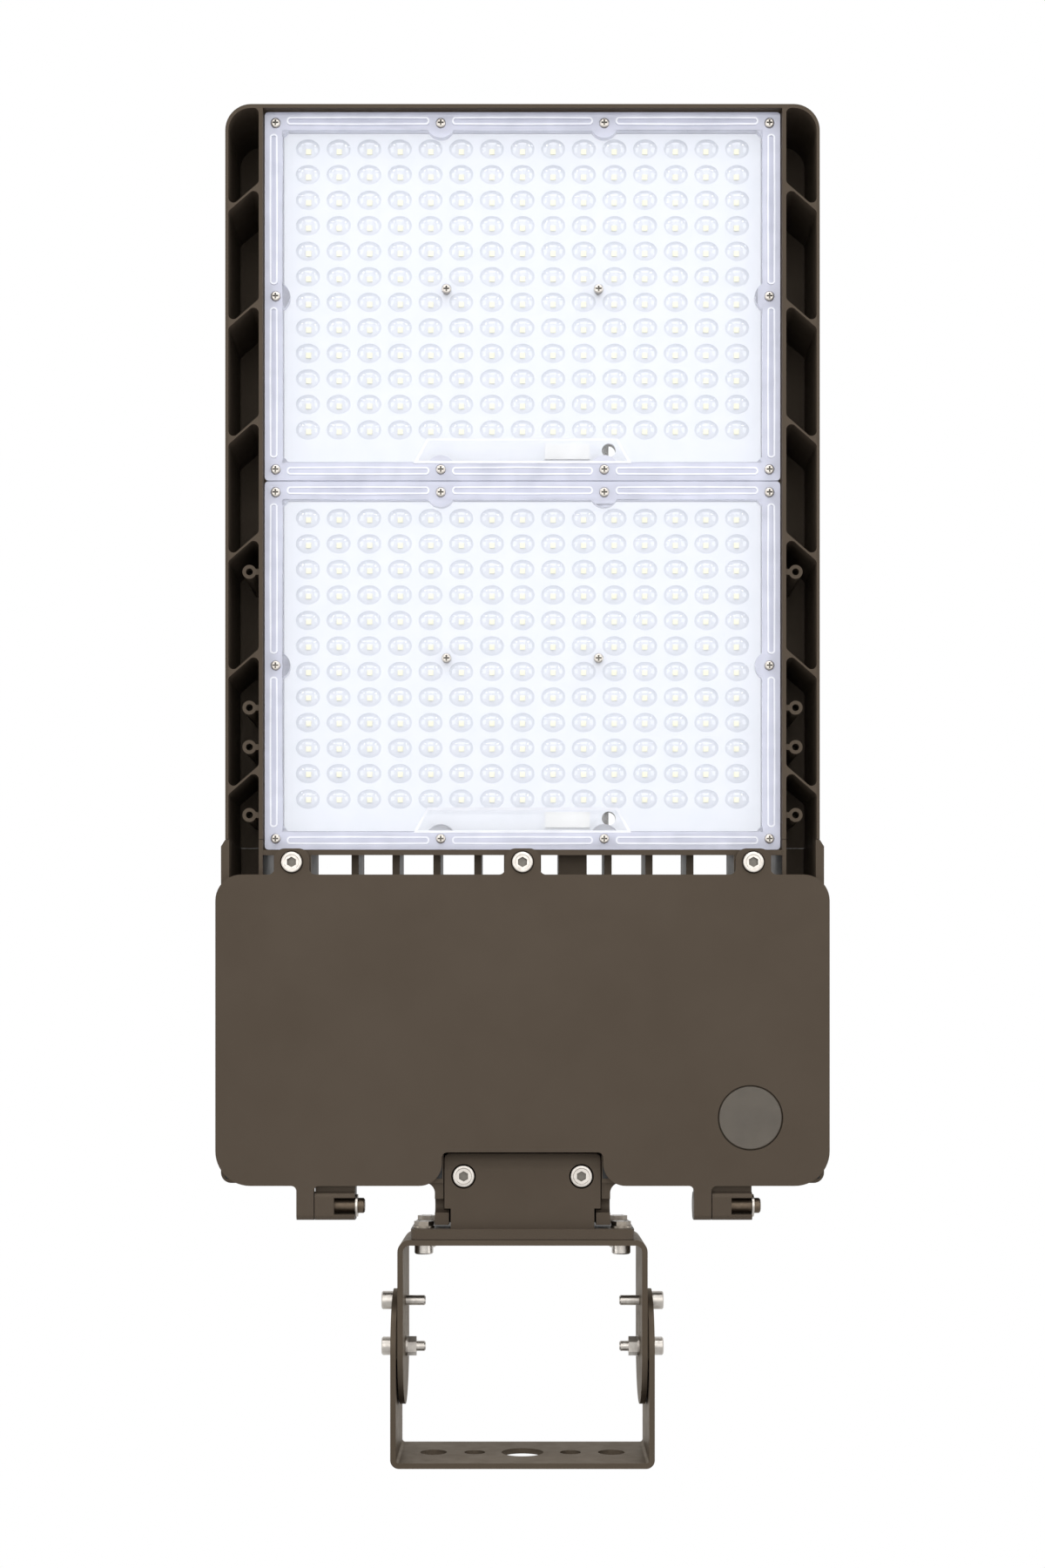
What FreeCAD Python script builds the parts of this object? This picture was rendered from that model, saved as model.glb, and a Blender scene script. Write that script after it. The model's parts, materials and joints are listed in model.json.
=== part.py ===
"""Shoebox area light on a two-part tilting yoke.

Millimetres, +Z up, -Y is the lit face, +X is to the right of someone who looks at that face.
The origin is the centre of the yoke base's middle hole, on the base's underside.
The lower yoke stands still, the head tilts on it, and the door of the driver compartment
hangs on two hinge pins at the head's lower edge.
"""

import FreeCAD, Part

import math
import os

import Sketcher

# ---------------------------------------------------------------------------
# Driving sizes: every one is a cell of the sheet, and shapes are bound to them
# ---------------------------------------------------------------------------
SIZES = (
    # Lower yoke, bent from steel strip
    ("yoke_width", 152.0, "outside width over the lower yoke's arms"),
    ("yoke_depth", 67.6, "width of the steel strip, front to back"),
    ("yoke_gauge", 3.2, "thickness of the steel strip"),
    ("yoke_bend", 5.0, "outside radius of a bend in the lower strip"),
    ("upper_bend", 7.0, "outside radius of a bend in the upper strip"),
    ("arm_gap", 0.9, "gap between a lower and an upper arm"),
    ("pivot_height", 66.0, "height of the tilt axis above the base's underside"),
    ("lock_radius", 27.0, "distance from the tilt axis to a lock bolt"),
    ("slot_play", 0.4, "clearance of a lock bolt in its arc slot, each side"),
    ("slot_reach", 93.0, "half angle of the arc slot, in degrees"),
    ("mark_radius", 19.5, "radius of the inner ends of the angle marks"),
    ("mark_length", 2.6, "length of an angle mark"),
    ("mark_width", 0.7, "width of an angle mark"),
    ("mark_depth", 0.35, "depth of an angle mark"),
    ("mark_step", 15.0, "angle from one mark to the next, in degrees"),
    ("centre_hole_radius", 12.4, "radius of the middle hole in the base"),
    ("inner_hole_radius", 6.2, "radius of an inner bolt hole in the base"),
    ("inner_hole_spacing", 56.5, "distance between the inner bolt holes"),
    ("outer_hole_radius", 7.9, "radius of an outer bolt hole in the base"),
    ("outer_hole_spacing", 105.0, "distance between the outer bolt holes"),
    # Upper yoke, an inverted U inside the lower one
    ("bracket_top", 131.4, "height of the upper yoke's top face"),
    ("wire_hole_radius", 10.5, "radius of the wire hole in the upper yoke and the adapter"),
    ("wire_hole_back", 13.0, "distance of the wire hole behind the tilt axis"),
    # Screws and nuts of the yoke
    ("screw_radius", 3.0, "radius of a yoke screw"),
    ("screw_play", 0.3, "clearance round a screw in its hole"),
    ("thread_play", 0.05, "clearance of a thread in the hole that holds it"),
    ("screw_head_radius", 5.4, "radius of a yoke screw's head"),
    ("screw_head_height", 5.8, "height of a yoke screw's head"),
    ("screw_socket", 2.9, "corner radius of the hexagon in a yoke screw's head"),
    ("screw_length", 20.0, "length of a yoke screw under its head"),
    ("flange_bolt_length", 13.2, "length of a flange bolt under its head"),
    ("flange_nut_height", 2.6, "height of a flange bolt's low nut"),
    ("nut_corner", 5.7, "corner radius of a yoke nut"),
    ("nut_height", 5.0, "height of a yoke nut"),
    ("washer_radius", 6.2, "radius of a flat washer"),
    ("washer_thickness", 1.2, "thickness of a flat washer"),
    ("spring_washer_radius", 5.2, "radius of a spring washer"),
    ("spring_washer_thickness", 1.2, "thickness of a spring washer"),
    ("spring_washer_cut", 1.2, "width of the cut through a spring washer"),
    ("spacer_radius", 9.0, "radius of the plastic spacer between two arms"),
    ("spacer_play", 0.3, "gap between the spacer and the arm that moves"),
    # Mount adapter, a cast foot
    ("flange_width", 128.6, "width of the adapter's flange"),
    ("flange_thickness", 6.2, "thickness of the adapter's flange"),
    ("flange_corner", 3.0, "radius of the flange's corners"),
    ("flange_bevel", 0.5, "bevel of the flange's lower edge"),
    ("flange_bolt_x", 57.2, "distance of a flange bolt from the middle"),
    ("flange_bolt_y", 21.0, "distance of a flange bolt from the tilt axis, front to back"),
    ("adapter_width", 90.0, "width of the adapter's upright"),
    ("adapter_height", 49.3, "height of the adapter over the upper yoke"),
    ("adapter_front", 29.0, "distance of the adapter's front before the tilt axis"),
    ("adapter_back", 8.3, "distance of the upright's back before the tilt axis"),
    ("adapter_slope_height", 9.6, "height of the sloped band at the adapter's top"),
    ("adapter_slope_depth", 3.0, "how far the sloped band leans back"),
    ("upright_corner", 3.0, "radius of the upright's top corners"),
    ("hook_depth", 3.1, "how far an ear's hook reaches into the adapter"),
    ("hook_height", 8.4, "height of an ear's hook"),
    ("hook_play", 1.1, "gap between a hook and the adapter"),
    ("adapter_bolt_x", 34.0, "distance of an adapter bolt from the middle"),
    ("adapter_bolt_z", 167.7, "height of the adapter bolts"),
    ("adapter_bolt_radius", 4.0, "radius of an adapter bolt"),
    ("adapter_bolt_length", 24.0, "length of an adapter bolt under its head"),
    ("adapter_head_radius", 6.4, "radius of an adapter bolt's head"),
    ("adapter_head_height", 7.0, "height of an adapter bolt's head"),
    ("adapter_socket", 3.5, "corner radius of the hexagon in an adapter bolt"),
    ("counterbore_radius", 7.1, "radius of an adapter bolt's counterbore"),
    ("counterbore_depth", 7.4, "depth of an adapter bolt's counterbore"),
    # Driver housing, a cast box
    ("housing_width", 347.4, "width of the driver housing"),
    ("housing_low", 164.0, "height of the housing's bottom face"),
    ("housing_high", 337.2, "height of the driver compartment's top face"),
    ("housing_back", 34.0, "distance of the housing's back behind the tilt axis"),
    ("housing_front", 30.2, "distance of the housing's rim before the tilt axis"),
    ("housing_wall", 3.2, "wall of the driver compartment"),
    ("housing_corner", 10.0, "radius of the housing's long back corners"),
    ("rim_width", 9.0, "width of the rim that carries the door's gasket"),
    ("rim_depth", 5.0, "depth of the rim behind the door"),
    ("seam_height", 362.0, "height of the seam between housing and heat sink"),
    ("seam_gap", 0.3, "gap of the seam"),
    ("cheek_wall", 4.7, "thickness of the housing's outer cheek walls"),
    ("cheek_shoulder", 4.2, "height of the sloped shoulder on the cheek"),
    ("ear_width", 5.0, "thickness of an ear beside the adapter"),
    ("ear_low", 139.7, "height of the ears' lower end"),
    ("ear_front", 28.0, "distance of an ear's front before the tilt axis"),
    ("ear_flare", 6.0, "radius where an ear meets the housing's bottom"),
    ("ear_play", 0.6, "gap between an ear and the adapter's side"),
    ("niche_top", 182.6, "height of the niche over the adapter"),
    ("niche_wall", 4.0, "thickness of the niche's walls"),
    ("niche_boss_radius", 8.0, "radius of a boss for an adapter bolt"),
    ("niche_boss_length", 12.0, "length of a boss for an adapter bolt"),
    ("gap_rib_first", 26.0, "distance of the first air-gap rib from the middle"),
    ("gap_rib_pitch", 23.8, "distance from one air-gap rib to the next"),
    ("gap_rib_width", 4.2, "thickness of an air-gap rib"),
    ("gap_rib_front", 18.0, "distance of a rib's front before the tilt axis"),
    ("raceway_x", 29.2, "middle of the wire raceway across the air gap"),
    ("raceway_width", 16.4, "width of the raceway"),
    ("raceway_bore", 5.0, "radius of the raceway's bore"),
    ("raceway_y", 0.0, "distance of the bore behind the tilt axis"),
    ("grommet_bore", 2.2, "radius of the hole in the raceway's grommet"),
    ("grommet_length", 8.0, "how far the grommet reaches into the raceway"),
    ("grommet_lip", 1.8, "width and height of the grommet's lip"),
    ("post_width", 21.4, "width of a post across the air gap"),
    ("post_back", 15.0, "distance of a post's back behind the tilt axis"),
    ("joint_screw_y", 5.0, "distance of a joint screw behind the tilt axis"),
    ("vent_x", 72.0, "distance of the breather vent from the middle"),
    ("vent_z", 186.0, "height of the breather vent"),
    ("vent_radius", 6.0, "radius of the breather vent's thread"),
    ("gland_y", 13.0, "distance of the cable gland behind the tilt axis"),
    ("gland_radius", 7.5, "radius of the cable gland's thread"),
    ("gland_bore", 4.5, "radius of the cable gland's bore"),
    ("gland_hexagon", 11.6, "corner radius of the cable gland's hexagon"),
    ("gland_hexagon_height", 6.0, "height of the cable gland's hexagon"),
    ("gland_thread_out", 6.4, "length of the gland's thread below its hexagon's seat"),
    ("gland_thread_in", 5.0, "length of the gland's thread inside the housing"),
    ("gland_cap_radius", 9.8, "radius of the gland's cap"),
    ("gland_cap_height", 8.5, "height of the gland's cap"),
    ("gland_cap_lip", 3.5, "height of the cap's sloped end"),
    ("gland_cap_depth", 4.0, "depth of the cap's thread"),
    ("gland_locknut_corner", 11.2, "corner radius of the gland's locknut"),
    ("gland_locknut_height", 3.5, "height of the gland's locknut"),
    ("vent_flange_radius", 9.0, "radius of the breather vent's flange"),
    ("vent_flange_height", 3.0, "height of the breather vent's flange"),
    ("vent_dome_radius", 7.2, "radius of the breather vent's end"),
    ("vent_dome_height", 5.0, "height of the breather vent"),
    ("joint_screw_length", 16.0, "length of a joint screw under its head"),
    # Heat sink, a cast plate with pockets and fins
    ("sink_width", 342.5, "width of the heat sink"),
    ("sink_top", 785.4, "height of the heat sink's top"),
    ("sink_low", 352.8, "height of the heat sink's underside at its front"),
    ("sink_flange_rise", 5.4, "how much higher the underside ends at the back"),
    ("sink_front", 30.0, "distance of the heat sink's rim before the tilt axis"),
    ("sink_back", 32.0, "distance of the fins' tips behind the tilt axis"),
    ("sink_wall", 1.7, "thickness of the heat sink's outer wall"),
    ("sink_top_wall", 2.2, "thickness of the heat sink's top wall"),
    ("sink_corner", 15.0, "outside radius of the heat sink's top corners"),
    ("sink_flange", 3.0, "thickness of the heat sink's bottom flange"),
    ("sink_flange_back", 26.0, "distance of the bottom flange's back behind the tilt axis"),
    ("plate_front", 20.0, "distance of the mounting plate's face before the tilt axis"),
    ("plate_thickness", 4.5, "thickness of the mounting plate"),
    ("divider_wall", 2.3, "wall between a side pocket and the lit field"),
    ("pocket_width", 17.6, "width of a side pocket"),
    ("pocket_floor", 26.0, "distance of a pocket's back behind the tilt axis"),
    ("pocket_floor_wall", 3.0, "thickness of a pocket's floor"),
    ("pocket_round", 3.0, "radius in a pocket's corners"),
    ("pocket_pitch", 67.17, "distance from one pocket rib to the next"),
    ("pocket_first", 725.0, "height of the top rib at the outer wall"),
    ("pocket_rise", 15.3, "how much higher a pocket rib ends at the divider"),
    ("pocket_rib", 1.4, "height of a pocket rib, measured upright"),
    ("boss_radius", 4.0, "radius of a screw boss in a side pocket"),
    ("boss_hole_radius", 2.0, "radius of the hole in such a boss"),
    ("boss_hole_depth", 12.0, "depth of the hole in such a boss"),
    ("boss_out", 5.6, "distance of such a boss from the divider wall"),
    ("boss_front", 28.5, "distance of such a boss's face before the tilt axis"),
    ("boss_web", 3.2, "thickness of the web that holds such a boss"),
    ("fin_pitch", 14.0, "distance from one rear fin to the next"),
    ("fin_width", 2.2, "thickness of a rear fin"),
    ("fin_count", 20.0, "number of rear fins"),
    ("fin_low", 370.0, "height of the fins' lower ends"),
    # Light engine: board, gasket, clear cover
    ("module_gap", 0.6, "gap round a lens cover"),
    ("module_corner", 2.0, "radius of a lens cover's corners"),
    ("cover_front", 25.6, "distance of a cover's face before the tilt axis"),
    ("cover_sheet", 2.0, "thickness of a cover's sheet"),
    ("cover_rim", 10.6, "width of a cover's rim"),
    ("gasket_width", 10.0, "width of a cover's gasket"),
    ("gasket_inset", 0.6, "distance of the gasket from the cover's edge"),
    ("rim_bevel", 2.5, "bevel in the inner corners of a cover's rim"),
    ("bulge_radius", 8.4, "radius of the rim's bulge round a screw"),
    ("channel_inset", 2.9, "distance of a raised channel from the cover's edge"),
    ("channel_width", 4.9, "width of a raised channel on a cover's rim"),
    ("channel_wall", 1.0, "thickness of a channel's wall"),
    ("channel_height", 1.0, "height of a channel's wall"),
    ("channel_end", 6.5, "distance of a channel's end from a screw"),
    ("board_thickness", 1.6, "thickness of a circuit board"),
    ("board_play", 0.2, "gap between a board and its cover's rim"),
    ("lens_columns", 15.0, "lenses in a row"),
    ("lens_rows", 12.0, "rows of lenses in a module"),
    ("lens_pitch_x", 17.72, "distance from one lens to the next in a row"),
    ("lens_pitch_z", 14.75, "distance from one row to the next"),
    ("lens_rise", 3.9, "how far the lens field lies above the module's middle"),
    ("lens_radius", 5.5, "half height of an oval lens where it meets the sheet"),
    ("lens_stretch", 3.0, "how much wider than high an oval lens is"),
    ("lens_height", 4.2, "how far a lens stands off the sheet"),
    ("chip_size", 3.0, "width of a light-emitting chip"),
    ("chip_height", 0.6, "height of a light-emitting chip"),
    ("lens_screw_radius", 1.7, "radius of a cover screw"),
    ("lens_screw_head", 2.75, "radius of a cover screw's head"),
    ("lens_screw_head_height", 1.9, "height of a cover screw's head"),
    ("lens_screw_length", 8.6, "length of a cover screw under its head"),
    ("lens_screw_seat", 0.8, "depth of the seat for a cover screw's head"),
    ("lens_screw_socket", 1.3, "corner radius of the recess in a cover screw"),
    ("lens_screw_play", 0.3, "clearance of a cover screw and its head in the cover"),
    ("field_boss_radius", 3.5, "radius of a cover's boss round a screw among the lenses"),
    ("lens_screw_inset", 6.3, "distance of a cover screw from the cover's edge"),
    ("lens_screw_span", 94.5, "distance between the middle screws of a long side"),
    ("inner_screw_span", 88.0, "distance between the two screws inside the field"),
    ("inner_screw_rise", 4.2, "height of the inner screws above the module's middle"),
    ("connector_width", 26.0, "width of a board connector"),
    ("connector_height", 9.0, "height of a board connector on the board"),
    ("connector_depth", 1.7, "how far a board connector stands off the board"),
    ("connector_inset", 13.0, "height of a connector's lower edge over the module's edge"),
    ("connector_x", 26.0, "distance of a board connector right of the middle"),
    ("port_x", 50.0, "distance of a board's wire port right of the middle"),
    ("port_inset", 18.5, "height of a wire port over the module's edge"),
    ("port_radius", 4.0, "radius of a wire port"),
    ("window_base", 126.0, "width of the raised window's lower edge"),
    ("window_top", 110.0, "width of the raised window's upper edge"),
    ("window_height", 13.6, "height of the raised window over the cover's rim"),
    ("window_rise", 1.2, "how far the window stands off the sheet"),
    # Door of the driver compartment
    ("door_width", 352.8, "width of the door"),
    ("door_low", 162.5, "height of the door's lower edge"),
    ("door_high", 341.3, "height of the door's upper edge"),
    ("door_front", 34.0, "distance of the door's face before the tilt axis"),
    ("door_thickness", 3.5, "thickness of the door"),
    ("door_corner", 15.0, "radius of the door's upper corners"),
    ("door_foot_corner", 20.0, "radius of the door's lower corners"),
    ("notch_width", 92.6, "width of the notch over the adapter"),
    ("notch_top", 181.8, "height of the notch's upper edge"),
    ("notch_flare", 13.0, "radius at the notch's lower corners"),
    ("notch_round", 3.0, "radius in the notch's upper corners"),
    ("tab_spacing", 132.5, "distance from one top tab to the next"),
    ("tab_width", 20.0, "width of a top tab"),
    ("tab_height", 15.0, "height of a top tab over the door"),
    ("tab_round", 6.0, "radius of a top tab's corners"),
    ("tab_foot", 3.5, "radius where a tab leaves the door"),
    ("door_screw_z", 348.4, "height of the door screws"),
    ("door_screw_radius", 3.0, "radius of a door screw"),
    ("door_screw_length", 14.0, "length of a door screw under its head"),
    ("door_head_radius", 6.0, "radius of a door screw's head"),
    ("door_head_height", 3.2, "height of a door screw's head"),
    ("door_socket", 3.0, "corner radius of the hexagon in a door screw"),
    ("door_recess_radius", 6.7, "radius of the recess round a door screw's head"),
    ("door_recess_depth", 1.6, "depth of the recess round a door screw's head"),
    ("lip_height", 5.0, "how far the door's inner lip reaches into the housing"),
    ("lip_width", 2.4, "thickness of the door's inner lip"),
    ("lip_play", 1.2, "gap between the lip and the housing's rim"),
    ("seal_width", 4.0, "width of the door gasket"),
    ("seal_depth", 1.4, "depth of the groove for the door gasket"),
    ("seal_gap", 0.15, "gap between the gasket and the closed door"),
    ("sensor_x", 130.9, "distance of the sensor port right of the middle"),
    ("sensor_z", 201.6, "height of the sensor port"),
    ("sensor_recess", 18.8, "radius of the recess for the sensor plug"),
    ("sensor_recess_depth", 2.1, "depth of that recess"),
    ("sensor_play", 0.7, "gap round the sensor plug's rim"),
    ("sensor_neck", 12.0, "radius of the sensor plug's neck"),
    ("sensor_neck_length", 10.5, "length of the plug behind the door's face"),
    ("sensor_nut", 15.5, "corner radius of the sensor plug's nut"),
    ("sensor_nut_height", 4.0, "height of the sensor plug's nut"),
    # Door hinges
    ("hinge_axis_z", 150.8, "height of the door's hinge axis"),
    ("hinge_axis_y", 26.0, "distance of the hinge axis before the tilt axis"),
    ("hinge_radius", 8.0, "half height of a knuckle and of a barrel"),
    ("hinge_pin_radius", 4.4, "radius of a hinge pin"),
    ("hinge_play", 0.06, "running clearance of a pin in its barrel"),
    ("hinge_left_x", -129.9, "left end of the left knuckle"),
    ("hinge_right_x", 98.5, "left end of the right knuckle"),
    ("knuckle_width", 10.0, "width of a door knuckle"),
    ("knuckle_arm", 6.4, "thickness of a knuckle's arm"),
    ("knuckle_foot", 3.0, "radius where a knuckle leaves the door"),
    ("hinge_round", 3.0, "radius of a knuckle's and a barrel's square corners"),
    ("hinge_lug", 3.6, "how far a barrel's lug reaches before the hinge axis"),
    ("knuckle_gap", 0.5, "gap between a knuckle and its barrel"),
    ("barrel_width", 11.0, "width of the closed part of a barrel"),
    ("saddle_width", 12.0, "width of the open part of a barrel"),
    ("saddle_mouth", 9.6, "height of the opening in the saddle's front"),
    ("ring_gap", 0.2, "gap between a barrel and its retaining ring"),
    ("ring_thickness", 1.2, "thickness of a retaining ring"),
    ("ring_radius", 6.5, "radius of a retaining ring"),
    ("ring_seat", 3.6, "radius of the groove for a retaining ring"),
    ("pin_tail", 3.9, "length of a pin beyond its retaining ring"),
    # Parts inside the driver compartment
    ("driver_left", -153.0, "left end of the drivers' cases"),
    ("driver_length", 236.0, "length of a driver's case"),
    ("driver_height", 62.0, "height of a driver's case"),
    ("driver_depth", 36.0, "depth of a driver's case"),
    ("driver_low", 192.0, "height of the lower driver's underside"),
    ("driver_gap", 6.0, "gap between the two drivers"),
    ("driver_foot", 9.0, "length of a driver's mounting foot"),
    ("driver_foot_thickness", 3.0, "thickness of a driver's mounting foot"),
    ("small_screw_radius", 2.0, "radius of a screw inside the compartment"),
    ("small_head_radius", 3.8, "radius of such a screw's head"),
    ("small_head_height", 2.4, "height of such a screw's head"),
    ("small_socket", 1.5, "corner radius of the recess in such a screw"),
    ("surge_left", 104.0, "left side of the surge protector"),
    ("surge_low", 268.0, "underside of the surge protector"),
    ("surge_size", 50.0, "width and height of the surge protector"),
    ("surge_depth", 24.0, "depth of the surge protector"),
    ("terminal_low", 232.0, "underside of the terminal block"),
    ("terminal_height", 20.0, "height of the terminal block"),
    ("terminal_depth", 17.0, "depth of the terminal block"),
    ("terminal_ways", 5.0, "number of ways in the terminal block"),
    ("terminal_pitch", 10.0, "distance from one way to the next"),
    ("ground_x", 120.0, "distance of the ground screw from the middle"),
    ("ground_z", 214.0, "height of the ground screw"),
)

# ---------------------------------------------------------------------------
# The document, its sheet, and sizes that remember the cells they come from
# ---------------------------------------------------------------------------
doc = FreeCAD.newDocument("ShoeboxAreaLight")
sheet = doc.addObject("Spreadsheet::Sheet", "Sizes")


class Size:
    """A size: its number now, and the sheet expression that keeps it up to date."""

    def __init__(self, text, number):
        self.text = text
        self.number = number

    def __float__(self):
        return self.number

    def __add__(self, other):
        other = as_size(other)
        return Size(f"({self.text} + {other.text})", self.number + other.number)

    def __sub__(self, other):
        other = as_size(other)
        return Size(f"({self.text} - {other.text})", self.number - other.number)

    def __mul__(self, other):
        other = as_size(other)
        return Size(f"({self.text} * {other.text})", self.number * other.number)

    def __truediv__(self, other):
        other = as_size(other)
        return Size(f"({self.text} / {other.text})", self.number / other.number)

    def __neg__(self):
        return as_size(0) - self

    def __radd__(self, other):
        return as_size(other) + self

    def __rsub__(self, other):
        return as_size(other) - self

    def __rmul__(self, other):
        return as_size(other) * self


def as_size(value):
    """A plain number as a size."""
    if isinstance(value, Size):
        return value
    return Size(f"({float(value)!r})", float(value))


class Cells:
    """The sheet's cells by name."""


s = Cells()
for row, (alias, value, note) in enumerate(SIZES, start=1):
    sheet.set(f"A{row}", note)
    sheet.set(f"B{row}", str(value))
    sheet.setAlias(f"B{row}", alias)
    setattr(s, alias, Size(f"Sizes.{alias}", float(value)))
doc.recompute()

COS30 = math.sqrt(3) / 2


# ---------------------------------------------------------------------------
# Helpers: sketches on a body's own planes, prisms, turned forms, primitives
# ---------------------------------------------------------------------------
def vector(x, y, z=0.0):
    return FreeCAD.Vector(float(x), float(y), float(z))


def bind(thing, **sizes):
    """Tie properties of an object to sizes."""
    for name, size in sizes.items():
        thing.setExpression(name, as_size(size).text)


def new_body(name):
    made = doc.addObject("PartDesign::Body", name)
    made.Label = name
    return made


def new_sketch(body, name, plane, at):
    """A sketch on one of the body's origin planes, moved along that plane's world axis."""
    made = body.newObject("Sketcher::SketchObject", name + "_sketch")
    role = plane + "_Plane"
    support = next(f for f in body.Origin.OriginFeatures if f.Role == role)
    made.AttachmentSupport = (support, [""])
    made.MapMode = "FlatFace"
    offset = -at if plane == "XZ" else as_size(at)
    made.setExpression("AttachmentOffset.Base.z", offset.text)
    return made


def pin_point(made, geometry, point, u, v):
    """Hold a sketch point at two sizes, measured from the sketch's origin."""
    for kind, size in (("DistanceX", as_size(u)), ("DistanceY", as_size(v))):
        rule = Sketcher.Constraint(kind, -1, 1, geometry, point, float(size))
        index = made.addConstraint(rule)
        made.setExpression(f"Constraints[{index}]", size.text)


def draw_loop(made, points):
    """A closed outline of straight lines through points given as sizes."""
    first = made.GeometryCount
    count = len(points)
    for i, (u, v) in enumerate(points):
        u_next, v_next = points[(i + 1) % count]
        made.addGeometry(Part.LineSegment(vector(u, v), vector(u_next, v_next)), False)
    for i, (u, v) in enumerate(points):
        following = first + (i + 1) % count
        made.addConstraint(Sketcher.Constraint("Coincident", first + i, 2, following, 1))
        pin_point(made, first + i, 1, u, v)


def draw_circle(made, u, v, radius):
    radius = as_size(radius)
    circle = Part.Circle(vector(u, v), FreeCAD.Vector(0, 0, 1), float(radius))
    index = made.addGeometry(circle, False)
    pin_point(made, index, 3, u, v)
    rule = made.addConstraint(Sketcher.Constraint("Radius", index, float(radius)))
    made.setExpression(f"Constraints[{rule}]", radius.text)


def draw(made, loops, circles):
    for points in loops:
        draw_loop(made, points)
    for circle in circles:
        draw_circle(made, *circle)


def add_prism(body, name, plane, low, high, loops=(), circles=()):
    """Add material between two places along the plane's world axis."""
    low, high = as_size(low), as_size(high)
    made = new_sketch(body, name, plane, high if plane == "XZ" else low)
    draw(made, loops, circles)
    feature = body.newObject("PartDesign::Pad", name)
    feature.Profile = made
    bind(feature, Length=high - low)
    return feature


def cut_prism(body, name, plane, low, high, loops=(), circles=()):
    """Take material away between two places, and make sure that something went."""
    low, high = as_size(low), as_size(high)
    doc.recompute()
    before = body.Tip.Shape.Volume
    made = new_sketch(body, name, plane, low if plane == "XZ" else high)
    draw(made, loops, circles)
    feature = body.newObject("PartDesign::Pocket", name)
    feature.Profile = made
    bind(feature, Length=high - low)
    doc.recompute()
    if not feature.Shape.Volume < before:
        raise RuntimeError(f"{name} cut nothing")
    return feature


def rectangle(u_low, v_low, u_high, v_high):
    return [(u_low, v_low), (u_high, v_low), (u_high, v_high), (u_low, v_high)]


def hexagon(u, v, corner):
    corner = as_size(corner)
    half, side = corner / 2, corner * COS30
    steps = ((corner, 0), (half, side), (-half, side), (-corner, 0), (-half, -side), (half, -side))
    return [(u + du, v + dv) for du, dv in steps]


def turn(body, name, points):
    """A form turned about Z from an outline of (radius, height) points."""
    made = new_sketch(body, name, "XZ", as_size(0))
    draw_loop(made, points)
    feature = body.newObject("PartDesign::Revolution", name)
    feature.Profile = made
    feature.ReferenceAxis = (made, ["V_Axis"])
    feature.Angle = 360.0
    return feature


def straight_edges(shape, axis, spots, tolerance=0.02):
    """Names of the edges that run along an axis through one of the spots (the other two axes)."""
    index = "xyz".index(axis)
    names = []
    for number, edge in enumerate(shape.Edges, start=1):
        if len(edge.Vertexes) != 2 or not isinstance(edge.Curve, (Part.Line, Part.LineSegment)):
            continue
        start, end = (tuple(v.Point) for v in edge.Vertexes)
        flat_start = [c for i, c in enumerate(start) if i != index]
        flat_end = [c for i, c in enumerate(end) if i != index]
        if math.dist(flat_start, flat_end) > tolerance:
            continue
        if any(math.dist(flat_start, (float(u), float(v))) < tolerance for u, v in spots):
            names.append(f"Edge{number}")
    return names


def round_edges(body, name, radius, axis, spots, kind="Fillet"):
    """Round (or bevel) straight edges that are found by their place."""
    doc.recompute()
    base = body.Tip
    names = straight_edges(base.Shape, axis, spots)
    if not names:
        raise RuntimeError(f"{name} found no edge")
    feature = body.newObject("PartDesign::" + kind, name)
    feature.Base = (base, names)
    bind(feature, **{"Radius" if kind == "Fillet" else "Size": radius})
    doc.recompute()
    return feature


def both_sides(*sizes):
    """The same sizes left and right of the middle."""
    return [sign * size for size in sizes for sign in (-1, 1)]


def place(x, y, z, facing=(0, 0, 1)):
    """Where a copy goes, and where its local Z points."""
    spin = FreeCAD.Rotation(FreeCAD.Vector(0, 0, 1), FreeCAD.Vector(*facing))
    return FreeCAD.Placement(vector(x, y, z), spin)


def copies(name, form, places):
    """A node of separate, equal solids: one form repeated at each place."""
    doc.recompute()
    solids = []
    for spot in places:
        solid = form.Shape.copy()
        solid.Placement = spot
        solids.append(solid)
    return feature_of(name, Part.makeCompound(solids))


def feature_of(name, shape):
    made = doc.addObject("Part::Feature", name)
    made.Label = name
    made.Shape = shape
    made.Placement = FreeCAD.Placement()
    return made


def block(low, high):
    """A plain block between two corners, for groups of small equal blocks."""
    low, high = vector(*low), vector(*high)
    size = high - low
    return Part.makeBox(size.x, size.y, size.z, low)


def socket_screw(name, radius, length, head_radius, head_height, socket):
    """A cap screw: its head's underside at z = 0, its head upwards."""
    bevel = head_height * 0.12
    form = new_body(name)
    turn(form, name + "_turned", [
        (0, -length),
        (radius * 0.8, -length),
        (radius, -length + radius * 0.25),
        (radius, 0),
        (head_radius, 0),
        (head_radius, head_height - bevel),
        (head_radius - bevel, head_height),
        (0, head_height),
    ])
    depth = head_height * 0.6
    cut_prism(form, name + "_socket", "XY", head_height - depth, head_height,
              loops=[hexagon(as_size(0), as_size(0), socket)])
    return form


def plain_ring(name, inner, outer, height):
    """A washer, spacer or seal: its lower face at z = 0."""
    form = new_body(name)
    turn(form, name + "_turned", rectangle(inner, 0, outer, height))
    return form


def hex_nut(name, corner, bore, height):
    form = new_body(name)
    add_prism(form, name + "_hexagon", "XY", 0, height,
              loops=[hexagon(as_size(0), as_size(0), corner)],
              circles=[(0, 0, bore)])
    return form


nodes = {}


def keep(made):
    """Hand a finished sub-part to the list of nodes."""
    nodes[made.Label] = made
    return made


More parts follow.
